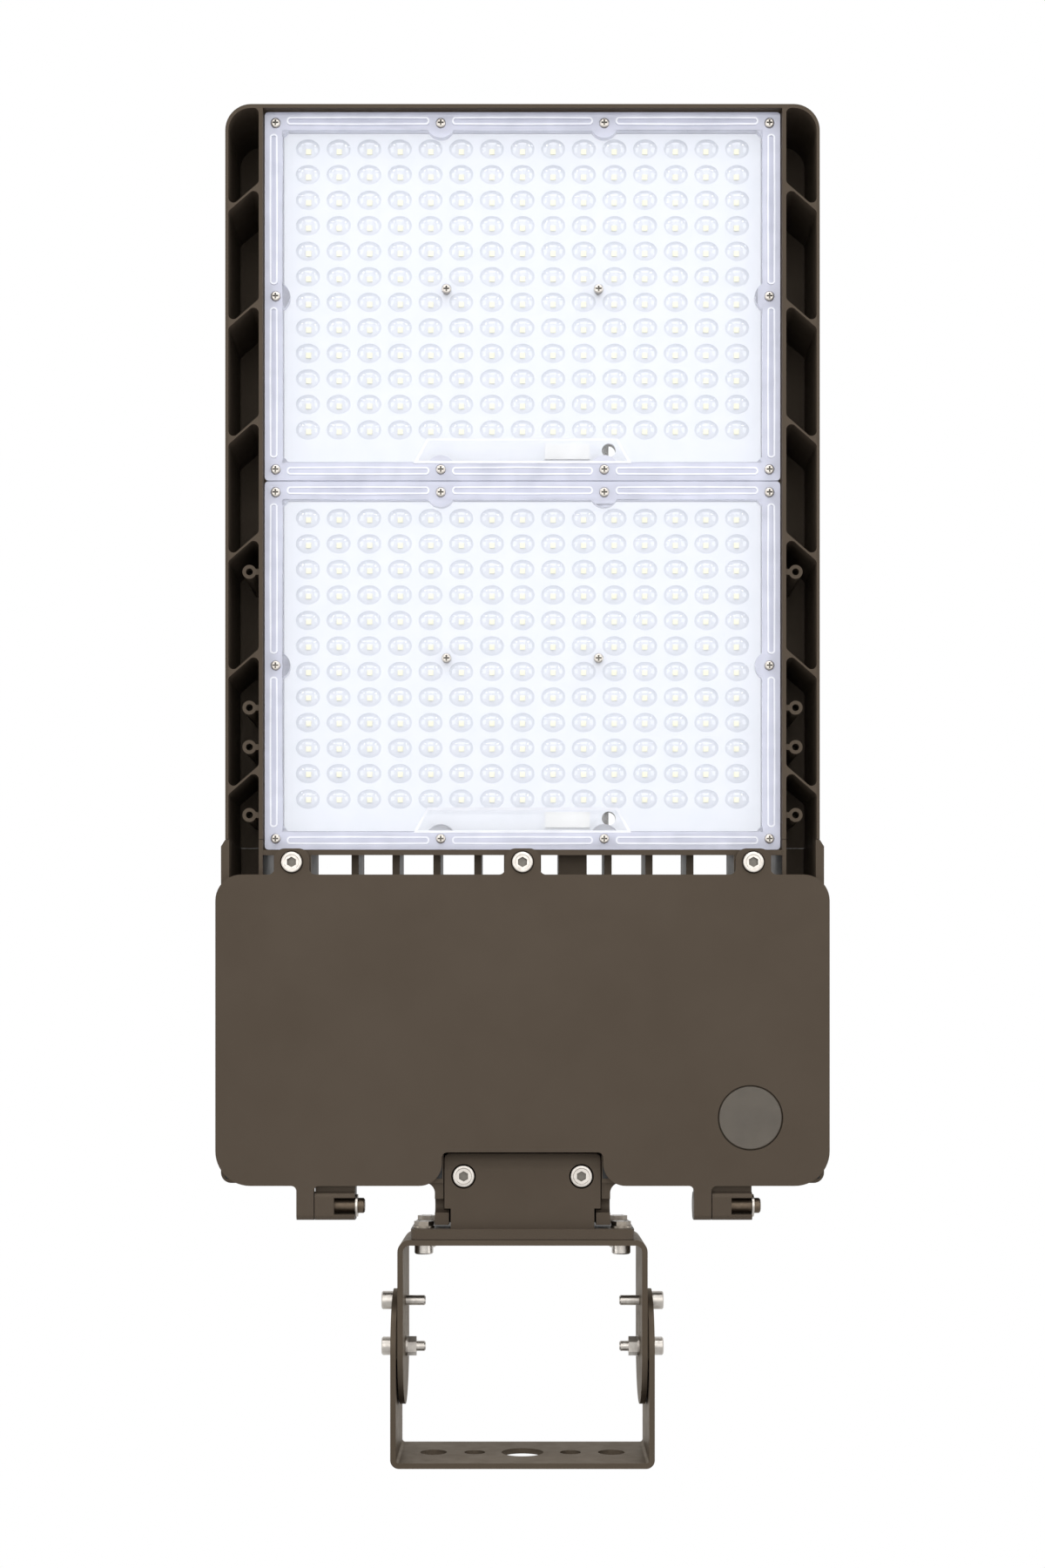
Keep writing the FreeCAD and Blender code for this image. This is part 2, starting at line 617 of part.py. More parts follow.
# ---------------------------------------------------------------------------
# Places that several sub-parts share
# ---------------------------------------------------------------------------
yoke_half = s.yoke_width / 2
strip_half = s.yoke_depth / 2
lower_arm_inside = yoke_half - s.yoke_gauge
upper_half = lower_arm_inside - s.arm_gap
upper_arm_inside = upper_half - s.yoke_gauge
lock_z = s.pivot_height + s.lock_radius
screw_hole = s.screw_radius + s.screw_play
screw_thread = s.screw_radius + s.thread_play
flange_top = s.bracket_top + s.flange_thickness
adapter_half = s.adapter_width / 2
adapter_top = s.bracket_top + s.adapter_height
niche_half = adapter_half + s.ear_play
ear_outside = niche_half + s.ear_width
housing_half = s.housing_width / 2
sink_half = s.sink_width / 2
pocket_outside = sink_half - s.sink_wall
divider_outside = pocket_outside - s.pocket_width
divider_inside = divider_outside - s.divider_wall
pocket_bottom = s.pocket_floor - s.pocket_floor_wall
housing_cheek_top = s.seam_height - s.seam_gap
sink_low_back = s.sink_low + s.sink_flange_rise
sink_floor = sink_low_back + s.sink_flange
inner_back = s.housing_back - s.housing_wall
door_back = s.door_front - s.door_thickness
tabs_x = (-s.tab_spacing, as_size(0), s.tab_spacing)
hinge_lefts = (s.hinge_left_x, s.hinge_right_x)
module_height = (s.sink_top - s.sink_top_wall - s.sink_low - s.sink_flange - 3 * s.module_gap) / 2
module_half = divider_inside - s.module_gap
module_lows = {
    "lower": s.sink_low + s.sink_flange + s.module_gap,
    "upper": s.sink_low + s.sink_flange + 2 * s.module_gap + module_height,
}


# ---------------------------------------------------------------------------
# Yoke: two bent strips, one inside the other
# ---------------------------------------------------------------------------
def bent_strip(name, half, web_low, web_high, arm_end, bend, arms_up):
    """A U of strip: a level web, and two arms with round ends about the tilt axis."""
    made = new_body(name)
    inside = half - s.yoke_gauge
    inner_web = web_high if arms_up else web_low
    outer_web = web_low if arms_up else web_high
    add_prism(made, name + "_strip", "XZ", -strip_half, strip_half, loops=[[
        (-half, arm_end), (-half, outer_web), (half, outer_web), (half, arm_end),
        (inside, arm_end), (inside, inner_web), (-inside, inner_web), (-inside, arm_end),
    ]])
    round_edges(made, name + "_outer_bends", bend, "y", [(x, outer_web) for x in (-half, half)])
    round_edges(made, name + "_inner_bends", bend - s.yoke_gauge, "y",
                [(x, inner_web) for x in (-inside, inside)])
    corners = [(y, arm_end) for y in (-strip_half, strip_half)]
    round_edges(made, name + "_round_ends", strip_half * 0.9999, "x", corners)
    return made


def arc_slot(x_low, x_high):
    """The solid of an arc slot through an arm, with round ends."""
    inner = s.lock_radius - s.screw_radius - s.slot_play
    outer = s.lock_radius + s.screw_radius + s.slot_play
    middle = float(s.lock_radius)

    def spot(radius, offset):
        angle = math.radians(90 + offset)
        across, up = float(radius) * math.cos(angle), float(radius) * math.sin(angle)
        return vector(x_low, across, s.pivot_height + up)

    reach = float(s.slot_reach)
    end_offset = math.degrees(float(outer - inner) / 2 / middle)
    edges = [
        Part.Arc(spot(inner, -reach), spot(inner, 0), spot(inner, reach)),
        Part.Arc(spot(inner, reach), spot(middle, reach + end_offset), spot(outer, reach)),
        Part.Arc(spot(outer, reach), spot(outer, 0), spot(outer, -reach)),
        Part.Arc(spot(outer, -reach), spot(middle, -reach - end_offset), spot(inner, -reach)),
    ]
    outline = Part.Wire([edge.toShape() for edge in edges])
    return Part.Face(outline).extrude(vector(x_high - x_low, 0))


def angle_marks(x_low, x_high):
    """Short engraved lines about the tilt axis, one per step of the scale."""
    reach = float(s.slot_reach)
    step = float(s.mark_step)
    count = int(reach // step)
    marks = []
    for i in range(-count, count + 1):
        mark = block(
            (x_low, -s.mark_width / 2, s.mark_radius),
            (x_high, s.mark_width / 2, s.mark_radius + s.mark_length),
        )
        mark.rotate(FreeCAD.Vector(0, 0, 0), FreeCAD.Vector(1, 0, 0), i * step)
        mark.translate(vector(0, 0, s.pivot_height))
        marks.append(mark)
    return marks


def make_lower_yoke():
    made = bent_strip("lower_strip", yoke_half, as_size(0), s.yoke_gauge,
                      s.pivot_height + strip_half, s.yoke_bend, arms_up=True)
    holes = [(0, 0, s.centre_hole_radius)]
    holes += [(x, 0, s.inner_hole_radius) for x in both_sides(s.inner_hole_spacing / 2)]
    holes += [(x, 0, s.outer_hole_radius) for x in both_sides(s.outer_hole_spacing / 2)]
    cut_prism(made, "base_holes", "XY", 0, s.yoke_gauge, circles=holes)
    cut_prism(made, "pivot_holes", "YZ", -yoke_half, yoke_half,
              circles=[(0, s.pivot_height, screw_hole)])
    doc.recompute()
    tools = []
    for low, high in ((-yoke_half, -lower_arm_inside), (lower_arm_inside, yoke_half)):
        tools.append(arc_slot(low - 1, high + 1))
    for low, high in ((-yoke_half, -yoke_half + s.mark_depth), (yoke_half - s.mark_depth, yoke_half)):
        tools += angle_marks(low, high)
    keep(feature_of("yoke_lower", made.Shape.cut(tools)))


def make_upper_yoke():
    made = bent_strip("upper_strip", upper_half, s.bracket_top - s.yoke_gauge, s.bracket_top,
                      s.pivot_height - strip_half, s.upper_bend, arms_up=False)
    holes = [(x, y, screw_hole) for x in both_sides(s.flange_bolt_x) for y in both_sides(s.flange_bolt_y)]
    holes.append((0, s.wire_hole_back, s.wire_hole_radius))
    cut_prism(made, "bracket_holes", "XY", s.bracket_top - s.yoke_gauge, s.bracket_top, circles=holes)
    cut_prism(made, "arm_holes", "YZ", -upper_half, upper_half,
              circles=[(0, s.pivot_height, screw_hole), (0, lock_z, screw_thread)])
    doc.recompute()
    tools = []
    for low, high in ((-upper_arm_inside - s.mark_depth, -upper_arm_inside),
                      (upper_arm_inside, upper_arm_inside + s.mark_depth)):
        tools += angle_marks(low, high)
    keep(feature_of("yoke_upper", made.Shape.cut(tools)))


def make_yoke_fasteners():
    yoke_screw = socket_screw("yoke_screw_form", s.screw_radius, s.screw_length, s.screw_head_radius,
                              s.screw_head_height, s.screw_socket)
    washer = plain_ring("washer_form", screw_hole, s.washer_radius, s.washer_thickness)
    nut = hex_nut("nut_form", s.nut_corner, screw_thread, s.nut_height)
    spacer = plain_ring("spacer_form", screw_hole, s.spacer_radius, s.arm_gap - s.spacer_play)
    spring_washer = plain_ring("spring_washer_form", screw_hole, s.spring_washer_radius,
                               s.spring_washer_thickness)
    cut_prism(spring_washer, "spring_washer_gap", "XY", 0, s.spring_washer_thickness,
              loops=[rectangle(-s.spring_washer_cut / 2, 0, s.spring_washer_cut / 2,
                               s.spring_washer_radius * 1.2)])
    sides = (-1, 1)

    def at_pivot(x):
        return [place(side * x, 0, s.pivot_height, (side, 0, 0)) for side in sides]

    def inwards(x, z):
        return [place(side * x, 0, z, (-side, 0, 0)) for side in sides]

    outside = yoke_half + s.spring_washer_thickness
    keep(copies("pivot_bolts", yoke_screw, at_pivot(outside)))
    keep(copies("pivot_spring_washers", spring_washer, at_pivot(yoke_half)))
    keep(copies("pivot_washers", washer, inwards(upper_arm_inside, s.pivot_height)))
    keep(copies("pivot_nuts", nut, inwards(upper_arm_inside - s.washer_thickness, s.pivot_height)))
    keep(copies("pivot_spacers", spacer, inwards(lower_arm_inside, s.pivot_height)))
    keep(copies("lock_bolts", yoke_screw,
                [place(side * outside, 0, lock_z, (side, 0, 0)) for side in sides]))
    keep(copies("lock_spring_washers", spring_washer,
                [place(side * yoke_half, 0, lock_z, (side, 0, 0)) for side in sides]))
    spots = [(x, y) for x in both_sides(s.flange_bolt_x) for y in both_sides(s.flange_bolt_y)]
    under = s.bracket_top - s.yoke_gauge
    flange_bolt = socket_screw("flange_bolt_form", s.screw_radius, s.flange_bolt_length,
                               s.screw_head_radius, s.screw_head_height, s.screw_socket)
    keep(copies("flange_bolts", flange_bolt, [place(x, y, under, (0, 0, -1)) for x, y in spots]))
    keep(copies("flange_washers", washer, [place(x, y, flange_top) for x, y in spots]))
    above = flange_top + s.washer_thickness
    low_nut = hex_nut("low_nut_form", s.nut_corner, screw_thread, s.flange_nut_height)
    keep(copies("flange_nuts", low_nut, [place(x, y, above) for x, y in spots]))


# ---------------------------------------------------------------------------
# Mount adapter: flange on the upper yoke, upright bolted into the housing's niche
# ---------------------------------------------------------------------------
def make_adapter():
    made = new_body("mount_adapter")
    flange_half = s.flange_width / 2
    add_prism(made, "adapter_flange", "XY", s.bracket_top, flange_top,
              loops=[rectangle(-flange_half, -strip_half, flange_half, strip_half)])
    front, back = -s.adapter_front, -s.adapter_back
    add_prism(made, "adapter_upright", "YZ", -adapter_half, adapter_half, loops=[[
        (front, s.bracket_top), (back, s.bracket_top), (back, adapter_top),
        (front + s.adapter_slope_depth, adapter_top), (front, adapter_top - s.adapter_slope_height),
    ]])
    hook_in = adapter_half + s.ear_play - s.hook_depth - s.hook_play
    notch_low = flange_top
    notch_high = s.ear_low + s.hook_height + s.hook_play
    cut_prism(made, "hook_notches", "XZ", front, back, loops=[
        rectangle(hook_in, notch_low, adapter_half + 1, notch_high),
        rectangle(-adapter_half - 1, notch_low, -hook_in, notch_high),
    ])
    cut_prism(made, "adapter_wire_hole", "XY", s.bracket_top, flange_top,
              circles=[(0, s.wire_hole_back, s.wire_hole_radius)])
    holes = [(x, y, screw_hole) for x in both_sides(s.flange_bolt_x) for y in both_sides(s.flange_bolt_y)]
    cut_prism(made, "flange_holes", "XY", s.bracket_top, flange_top, circles=holes)
    bolts = both_sides(s.adapter_bolt_x)
    cut_prism(made, "bolt_holes", "XZ", front, back,
              circles=[(x, s.adapter_bolt_z, s.adapter_bolt_radius + s.screw_play) for x in bolts])
    cut_prism(made, "counterbores", "XZ", front, front + s.counterbore_depth,
              circles=[(x, s.adapter_bolt_z, s.counterbore_radius) for x in bolts])
    round_edges(made, "upright_corners", s.upright_corner, "y",
                [(x, adapter_top) for x in both_sides(adapter_half)])
    round_edges(made, "flange_corners", s.flange_corner, "z",
                [(x, y) for x in both_sides(flange_half) for y in both_sides(strip_half)])
    round_edges(made, "flange_seam", s.flange_bevel, "x", [(-strip_half, s.bracket_top)], "Chamfer")
    keep(made)
    bolt = socket_screw("adapter_bolt_form", s.adapter_bolt_radius, s.adapter_bolt_length,
                        s.adapter_head_radius, s.adapter_head_height, s.adapter_socket)
    seat = front + s.counterbore_depth
    keep(copies("adapter_bolts", bolt, [place(x, seat, s.adapter_bolt_z, (0, -1, 0)) for x in bolts]))


# ---------------------------------------------------------------------------
# Driver housing: box, cheeks beside the air gap, ribs and posts, ears, hinge barrels
# ---------------------------------------------------------------------------
def add_hinge_barrels(made):
    """A barrel and an open saddle on each hinge, carried by a lug from the bottom wall."""
    y, z, half = -s.hinge_axis_y, s.hinge_axis_z, s.hinge_radius
    for name, left in zip(("left", "right"), hinge_lefts):
        low = left + s.knuckle_width + s.knuckle_gap
        high = low + s.barrel_width + s.saddle_width
        add_prism(made, name + "_lug", "YZ", low, high,
                  loops=[rectangle(y - s.hinge_lug, z, y + half, s.housing_low + 1)])
        add_prism(made, name + "_barrel", "YZ", low, high,
                  loops=[rectangle(y - half, z - half, y + half, z + half)])
        round_edges(made, name + "_barrel_round", s.hinge_round, "x",
                    [(y - half, z - half), (y + half, z - half), (y - half, z + half)])
    bore = s.hinge_pin_radius + s.hinge_play
    first = s.hinge_left_x
    last = s.hinge_right_x + s.knuckle_width + s.knuckle_gap + s.barrel_width + s.saddle_width
    cut_prism(made, "hinge_bores", "YZ", first, last, circles=[(y, z, bore)])
    mouths = []
    for left in hinge_lefts:
        low = left + s.knuckle_width + s.knuckle_gap + s.barrel_width
        mouths.append(rectangle(low, z - s.saddle_mouth / 2, low + s.saddle_width, z + s.saddle_mouth / 2))
    cut_prism(made, "saddle_mouths", "XZ", y - half, y, loops=mouths)


def flange_low(y):
    """Height of the heat sink's sloped underside at a place from front to back."""
    return s.sink_low + (y + s.sink_front) * s.sink_flange_rise / (s.sink_front + s.sink_flange_back)


def add_niche(made):
    """The niche for the adapter: back wall, two ears with hooks, a roof, and bolt bosses."""
    back = -s.adapter_back
    roof = s.niche_top + s.niche_wall
    front = -s.housing_front
    niche_back = back + s.niche_wall
    cut_prism(made, "niche_cut", "XZ", front - 1, niche_back, loops=[
        rectangle(-ear_outside, s.housing_low - 1, ear_outside, roof)])
    add_prism(made, "niche_back_wall", "XZ", back, niche_back, loops=[
        rectangle(-ear_outside, s.ear_low, ear_outside, roof)])
    add_prism(made, "niche_roof", "XZ", front, niche_back, loops=[
        rectangle(-ear_outside, s.niche_top, ear_outside, roof)])
    hook_in = niche_half - s.hook_depth
    hook_top = s.ear_low + s.hook_height
    for sign, name in ((-1, "left"), (1, "right")):
        add_prism(made, name + "_ear_wall", "XZ", front, niche_back, loops=[[
            (sign * niche_half, s.housing_low), (sign * ear_outside, s.housing_low),
            (sign * ear_outside, roof), (sign * niche_half, roof)]])
        add_prism(made, name + "_ear", "XZ", -s.ear_front, niche_back, loops=[[
            (sign * hook_in, s.ear_low), (sign * ear_outside, s.ear_low),
            (sign * ear_outside, s.housing_low + 1), (sign * niche_half, s.housing_low + 1),
            (sign * niche_half, hook_top), (sign * hook_in, hook_top)]])
    round_edges(made, "ear_flares", s.ear_flare, "y",
                [(x, s.housing_low) for x in both_sides(ear_outside)])
    bolts = both_sides(s.adapter_bolt_x)
    add_prism(made, "bolt_bosses", "XZ", back, back + s.niche_boss_length + s.niche_wall,
              circles=[(x, s.adapter_bolt_z, s.niche_boss_radius) for x in bolts])
    cut_prism(made, "boss_bores", "XZ", back, back + s.niche_boss_length,
              circles=[(x, s.adapter_bolt_z, s.adapter_bolt_radius + s.thread_play) for x in bolts])


def make_housing():
    made = new_body("driver_housing")
    front, back = -s.housing_front, s.housing_back
    half = housing_half
    add_prism(made, "housing_shell", "XZ", front, back,
              loops=[rectangle(-half, s.housing_low, half, s.housing_high)])
    # The cheeks carry the side pockets on from the heat sink, with a sloped shoulder.
    for sign, name in ((-1, "left"), (1, "right")):
        shoulder = s.seam_height - s.cheek_shoulder
        add_prism(made, name + "_cheek", "XZ", front, s.pocket_floor, loops=[[
            (sign * half, s.housing_high - 1), (sign * half, shoulder),
            (sign * sink_half, housing_cheek_top), (sign * divider_inside, housing_cheek_top),
            (sign * divider_inside, s.housing_high - 1)]])
    round_edges(made, "back_corners", s.housing_corner, "z",
                [(x, back) for x in both_sides(half)])
    round_edges(made, "back_edges", s.housing_corner * 0.6, "x",
                [(back, z) for z in (s.housing_low, s.housing_high)])
    cheek_in = half - s.cheek_wall
    cut_prism(made, "cheek_pockets", "XZ", front, pocket_bottom, loops=[
        rectangle(divider_outside, s.housing_high, cheek_in, s.seam_height),
        rectangle(-cheek_in, s.housing_high, -divider_outside, s.seam_height)])
    # The compartment is open to the front, with a rim for the gasket.
    inner_half = half - s.housing_wall
    rim_half = half - s.rim_width
    cut_prism(made, "compartment_mouth", "XZ", front, front + s.rim_depth, loops=[
        rectangle(-rim_half, s.housing_low + s.rim_width, rim_half, s.housing_high - s.rim_width)])
    bevel = s.housing_corner - s.housing_wall
    cut_prism(made, "compartment", "XY", s.housing_low + s.housing_wall, s.housing_high - s.housing_wall,
              loops=[[(-inner_half, front + s.rim_depth), (inner_half, front + s.rim_depth),
                      (inner_half, inner_back - bevel), (inner_half - bevel, inner_back),
                      (bevel - inner_half, inner_back), (-inner_half, inner_back - bevel)]])
    add_niche(made)
    add_hinge_barrels(made)
    # Ribs, posts and the wire raceway bridge the air gap up to the heat sink's flange.
    ribs = []
    for count in range(4):
        for sign in (-1, 1):
            middle = sign * (s.gap_rib_first + count * s.gap_rib_pitch)
            if (sign, count) == (1, 0):
                continue
            ribs.append(rectangle(middle - s.gap_rib_width / 2, s.housing_high - 1,
                                  middle + s.gap_rib_width / 2, sink_low_back))
    add_prism(made, "gap_ribs", "XZ", -s.gap_rib_front, s.sink_flange_back, loops=ribs)
    race_low, race_high = s.raceway_x - s.raceway_width / 2, s.raceway_x + s.raceway_width / 2
    add_prism(made, "raceway", "XZ", -s.gap_rib_front, s.sink_flange_back,
              loops=[rectangle(race_low, s.housing_high - 1, race_high, sink_low_back)])
    posts = [rectangle(x - s.post_width / 2, s.housing_high - 1, x + s.post_width / 2, sink_low_back)
             for x in tabs_x]
    add_prism(made, "posts", "XZ", front, s.post_back, loops=posts)
    # Their tops follow the slope of the heat sink's underside.
    cut_prism(made, "gap_slope", "YZ", -divider_inside, divider_inside, loops=[[
        (front - 1, flange_low(front - 1)), (s.sink_flange_back, flange_low(s.sink_flange_back)),
        (s.sink_flange_back, sink_low_back + 1), (front - 1, sink_low_back + 1)]])
    cut_prism(made, "raceway_bore", "XY", s.housing_high - s.housing_wall, sink_low_back,
              circles=[(s.raceway_x, s.raceway_y, s.raceway_bore)])
    cut_prism(made, "joint_screw_bores", "XY", s.housing_high - s.housing_wall, sink_low_back,
              circles=[(x, s.joint_screw_y, screw_thread) for x in tabs_x])
    cut_prism(made, "door_screw_bores", "XZ", front, front + s.door_screw_length,
              circles=[(x, s.door_screw_z, s.door_screw_radius + s.screw_play) for x in tabs_x])
    # Groove for the door gasket, holes for gland and vent.
    seal_loops = seal_outline(s.seal_width)
    cut_prism(made, "seal_groove", "XZ", front, front + s.seal_depth, loops=seal_loops)
    cut_prism(made, "gland_hole", "XY", s.housing_low, s.housing_low + s.housing_wall,
              circles=[(0, s.gland_y, s.gland_radius)])
    cut_prism(made, "vent_hole", "XZ", inner_back, back, circles=[(s.vent_x, s.vent_z, s.vent_radius)])
    cut_prism(made, "ground_hole", "XZ", inner_back, inner_back + s.housing_wall / 2,
              circles=[(s.ground_x, s.ground_z, s.small_screw_radius + s.thread_play)])
    keep(made)


def seal_outline(width):
    """The door gasket's inner and outer outline, round the compartment and over the niche."""
    outlines = []
    middle = s.rim_width / 2
    for side in (-1, 1):
        inset = middle + side * width / 2
        half = housing_half - inset
        low, high = s.housing_low + inset, s.housing_high - inset
        niche_high = s.niche_top + s.niche_wall / 2 + inset - middle
        niche_side = (niche_half + ear_outside) / 2 + inset - middle
        outlines.append([
            (-half, high), (-half, low), (-niche_side, low), (-niche_side, niche_high),
            (niche_side, niche_high), (niche_side, low), (half, low), (half, high)])
    return outlines


def make_housing_fittings():
    seal = new_body("door_gasket")
    front = -s.housing_front
    seal_front = -door_back + s.seal_gap
    add_prism(seal, "gasket_ring", "XZ", seal_front, front + s.seal_depth,
              loops=seal_outline(s.seal_width - 0.4))
    keep(seal)
    gland = new_body("gland_form")
    seat = -s.housing_wall
    end = seat - s.gland_hexagon_height
    thread_end = seat - s.gland_thread_out
    add_prism(gland, "gland_thread", "XY", thread_end, s.gland_thread_in, circles=[(0, 0, s.gland_radius)])
    add_prism(gland, "gland_hexagon_form", "XY", end, seat,
              loops=[hexagon(as_size(0), as_size(0), s.gland_hexagon)])
    cut_prism(gland, "gland_bore_cut", "XY", thread_end, s.gland_thread_in, circles=[(0, 0, s.gland_bore)])
    top = s.housing_low + s.housing_wall
    keep(copies("cable_gland", gland, [place(0, s.gland_y, top)]))
    cap = new_body("gland_cap_form")
    cap_lip = s.gland_cap_height - s.gland_cap_lip
    turn(cap, "gland_cap_turned", [
        (s.gland_radius, 0), (s.gland_cap_radius, 0), (s.gland_cap_radius, cap_lip),
        (s.gland_radius, s.gland_cap_height), (s.gland_bore, s.gland_cap_height),
        (s.gland_bore, s.gland_cap_depth), (s.gland_radius, s.gland_cap_depth)])
    keep(copies("gland_cap", cap, [place(0, s.gland_y, top + end, (0, 0, -1))]))
    locknut = hex_nut("gland_locknut_form", s.gland_locknut_corner, s.gland_radius + s.thread_play,
                      s.gland_locknut_height)
    keep(copies("gland_locknut", locknut, [place(0, s.gland_y, top)]))
    vent = new_body("vent_form")
    turn(vent, "vent_turned", [
        (0, -s.housing_wall), (s.vent_radius, -s.housing_wall), (s.vent_radius, 0),
        (s.vent_flange_radius, 0), (s.vent_flange_radius, s.vent_flange_height),
        (s.vent_dome_radius, s.vent_dome_height), (0, s.vent_dome_height)])
    keep(copies("breather_vent", vent, [place(s.vent_x, s.housing_back, s.vent_z, (0, 1, 0))]))
    joint_screw = socket_screw("joint_screw_form", s.screw_radius, s.joint_screw_length,
                               s.screw_head_radius, s.screw_head_height, s.screw_socket)
    keep(copies("housing_joint_screws", joint_screw,
                [place(x, s.joint_screw_y, sink_floor) for x in tabs_x]))
    grommet = new_body("grommet_form")
    outside = s.raceway_bore - s.thread_play
    turn(grommet, "grommet_turned", [
        (s.grommet_bore, -s.grommet_length), (outside, -s.grommet_length), (outside, 0),
        (s.raceway_bore + s.grommet_lip, 0), (s.raceway_bore + s.grommet_lip, s.grommet_lip),
        (s.grommet_bore, s.grommet_lip)])
    keep(copies("raceway_grommet", grommet, [place(s.raceway_x, s.raceway_y, sink_floor)]))


# ---------------------------------------------------------------------------
# Heat sink: plate and rim, side pockets between slanted ribs, screw bosses, rear fins
# ---------------------------------------------------------------------------
def pocket_cells():
    """Corner points of each side pocket on the right, from the top down, as (x, z)."""
    outer, inner = pocket_outside, divider_outside
    top = s.sink_top - s.sink_top_wall
    cells = []
    upper_outer, upper_inner = top, top
    rib = 0
    while True:
        rib_outer = s.pocket_first - rib * s.pocket_pitch
        if float(rib_outer - s.pocket_rib) < float(s.seam_height) + 4:
            break
        rib_inner = rib_outer + s.pocket_rise
        cells.append([(inner, rib_inner), (outer, rib_outer), (outer, upper_outer), (inner, upper_inner)])
        upper_outer = rib_outer - s.pocket_rib
        upper_inner = rib_inner - s.pocket_rib
        rib += 1
    cells.append([(inner, s.seam_height), (outer, s.seam_height),
                  (outer, upper_outer), (inner, upper_inner)])
    return cells


BOSS_HEIGHTS = (516.3, 438.0, 415.3, 376.1)


def make_heat_sink():
    made = new_body("sink_casting")
    front = -s.sink_front
    plate_back = -s.plate_front + s.plate_thickness
    # The outer block, then everything hollow is cut from it.
    add_prism(made, "sink_sides", "XZ", front, s.pocket_floor, loops=[
        rectangle(-sink_half, s.seam_height, sink_half, s.sink_top)])
    field_top = s.sink_top - s.sink_top_wall
    cut_prism(made, "fin_space", "XZ", plate_back, s.pocket_floor, loops=[
        rectangle(-divider_inside, s.seam_height, divider_inside, s.sink_top)])
    add_prism(made, "lower_end", "YZ", -divider_inside, divider_inside, loops=[[
        (front, s.sink_low), (s.sink_flange_back, sink_low_back),
        (s.sink_flange_back, s.seam_height + 1), (front, s.seam_height + 1)]])
    cut_prism(made, "lower_fin_space", "XZ", plate_back, s.sink_flange_back, loops=[
        rectangle(-divider_inside, sink_floor, divider_inside, s.seam_height + 1)])
    cut_prism(made, "lit_field", "XZ", front, -s.plate_front, loops=[
        rectangle(-divider_inside, s.sink_low + s.sink_flange, divider_inside, field_top)])
    cells = pocket_cells()
    mirrored = [[(-x, z) for x, z in cell] for cell in cells]
    cut_prism(made, "side_pockets", "XZ", front, pocket_bottom, loops=cells + mirrored)
    corners = [spot for cell in cells[:-1] + mirrored[:-1] for spot in cell]
    corners += [spot for cell in (cells[-1], mirrored[-1]) for spot in cell[2:]]
    outer_top = [(x, field_top) for x in both_sides(pocket_outside)]
    inner_corners = [c for c in corners if (abs(float(c[0])), float(c[1])) not in
                     [(abs(float(x)), float(z)) for x, z in outer_top]]
    round_edges(made, "pocket_corners", s.pocket_round, "y", inner_corners)
    round_edges(made, "pocket_outer_corners", s.sink_corner - s.sink_wall, "y", outer_top)
    round_edges(made, "sink_corners", s.sink_corner, "y",
                [(x, s.sink_top) for x in both_sides(sink_half)])
    # Bosses on the divider walls, each on a short web.
    bosses, webs, holes = [], [], []
    for height in BOSS_HEIGHTS:
        for sign in (-1, 1):
            middle = divider_outside + s.boss_out
            bosses.append((sign * middle, height, s.boss_radius))
            holes.append((sign * middle, height, s.boss_hole_radius))
            ends = sorted((sign * (divider_outside - 0.5), sign * middle), key=float)
            webs.append(rectangle(ends[0], height - s.boss_web / 2, ends[1], height + s.boss_web / 2))
    add_prism(made, "pocket_bosses", "XZ", -s.boss_front, s.pocket_floor, circles=bosses)
    add_prism(made, "boss_webs", "XZ", -s.boss_front, s.pocket_floor, loops=webs)
    cut_prism(made, "boss_holes", "XZ", -s.boss_front, -s.boss_front + s.boss_hole_depth, circles=holes)
    # Holes for the screws of the covers, the wires, and the screws into the housing.
    screws = []
    for low in module_lows.values():
        screws += [(x, z, s.lens_screw_radius + s.thread_play) for x, z in cover_screws(low)]
    cut_prism(made, "cover_screw_holes", "XZ", -s.plate_front, plate_back, circles=screws)
    cut_prism(made, "joint_holes", "XY", s.sink_low, sink_floor,
              circles=[(x, s.joint_screw_y, screw_hole) for x in tabs_x])
    cut_prism(made, "wire_hole", "XY", s.sink_low, sink_floor,
              circles=[(s.raceway_x, s.raceway_y, s.raceway_bore)])
    ports = [(s.port_x, low + s.port_inset, s.port_radius) for low in module_lows.values()]
    cut_prism(made, "wire_ports", "XZ", -s.plate_front, plate_back, circles=ports)
    # Rear fins, one pattern across the plate.
    count = int(float(s.fin_count))
    first = -s.fin_pitch * (s.fin_count - 1) / 2
    fin_top = s.sink_top - s.sink_corner * 0.4
    add_prism(made, "fin", "XZ", plate_back - 0.5, s.sink_back, loops=[
        rectangle(first - s.fin_width / 2, s.fin_low, first + s.fin_width / 2, fin_top)])
    pattern = made.newObject("PartDesign::LinearPattern", "fins")
    pattern.Originals = [doc.getObject("fin")]
    x_axis = next(f for f in made.Origin.OriginFeatures if f.Role == "X_Axis")
    pattern.Direction = (x_axis, [""])
    pattern.Occurrences = count
    bind(pattern, Length=s.fin_pitch * (s.fin_count - 1))
    made.Tip = pattern
    made.Label = "heat_sink"
    keep(made)


# ---------------------------------------------------------------------------
# Light engine: board with chips, gasket, clear cover with lenses, screws
# ---------------------------------------------------------------------------
def rim_screws(low):
    """Places of the ten screws round a cover's rim, as (x, z)."""
    side = module_half - s.lens_screw_inset
    bottom, top = low + s.lens_screw_inset, low + module_height - s.lens_screw_inset
    spots = [(x, z) for x in both_sides(side, s.lens_screw_span / 2) for z in (bottom, top)]
    return spots + [(x, low + module_height / 2) for x in both_sides(side)]


def field_screws(low):
    """Places of the two screws among a cover's lenses, as (x, z)."""
    height = low + module_height / 2 + s.inner_screw_rise
    return [(x, height) for x in both_sides(s.inner_screw_span / 2)]


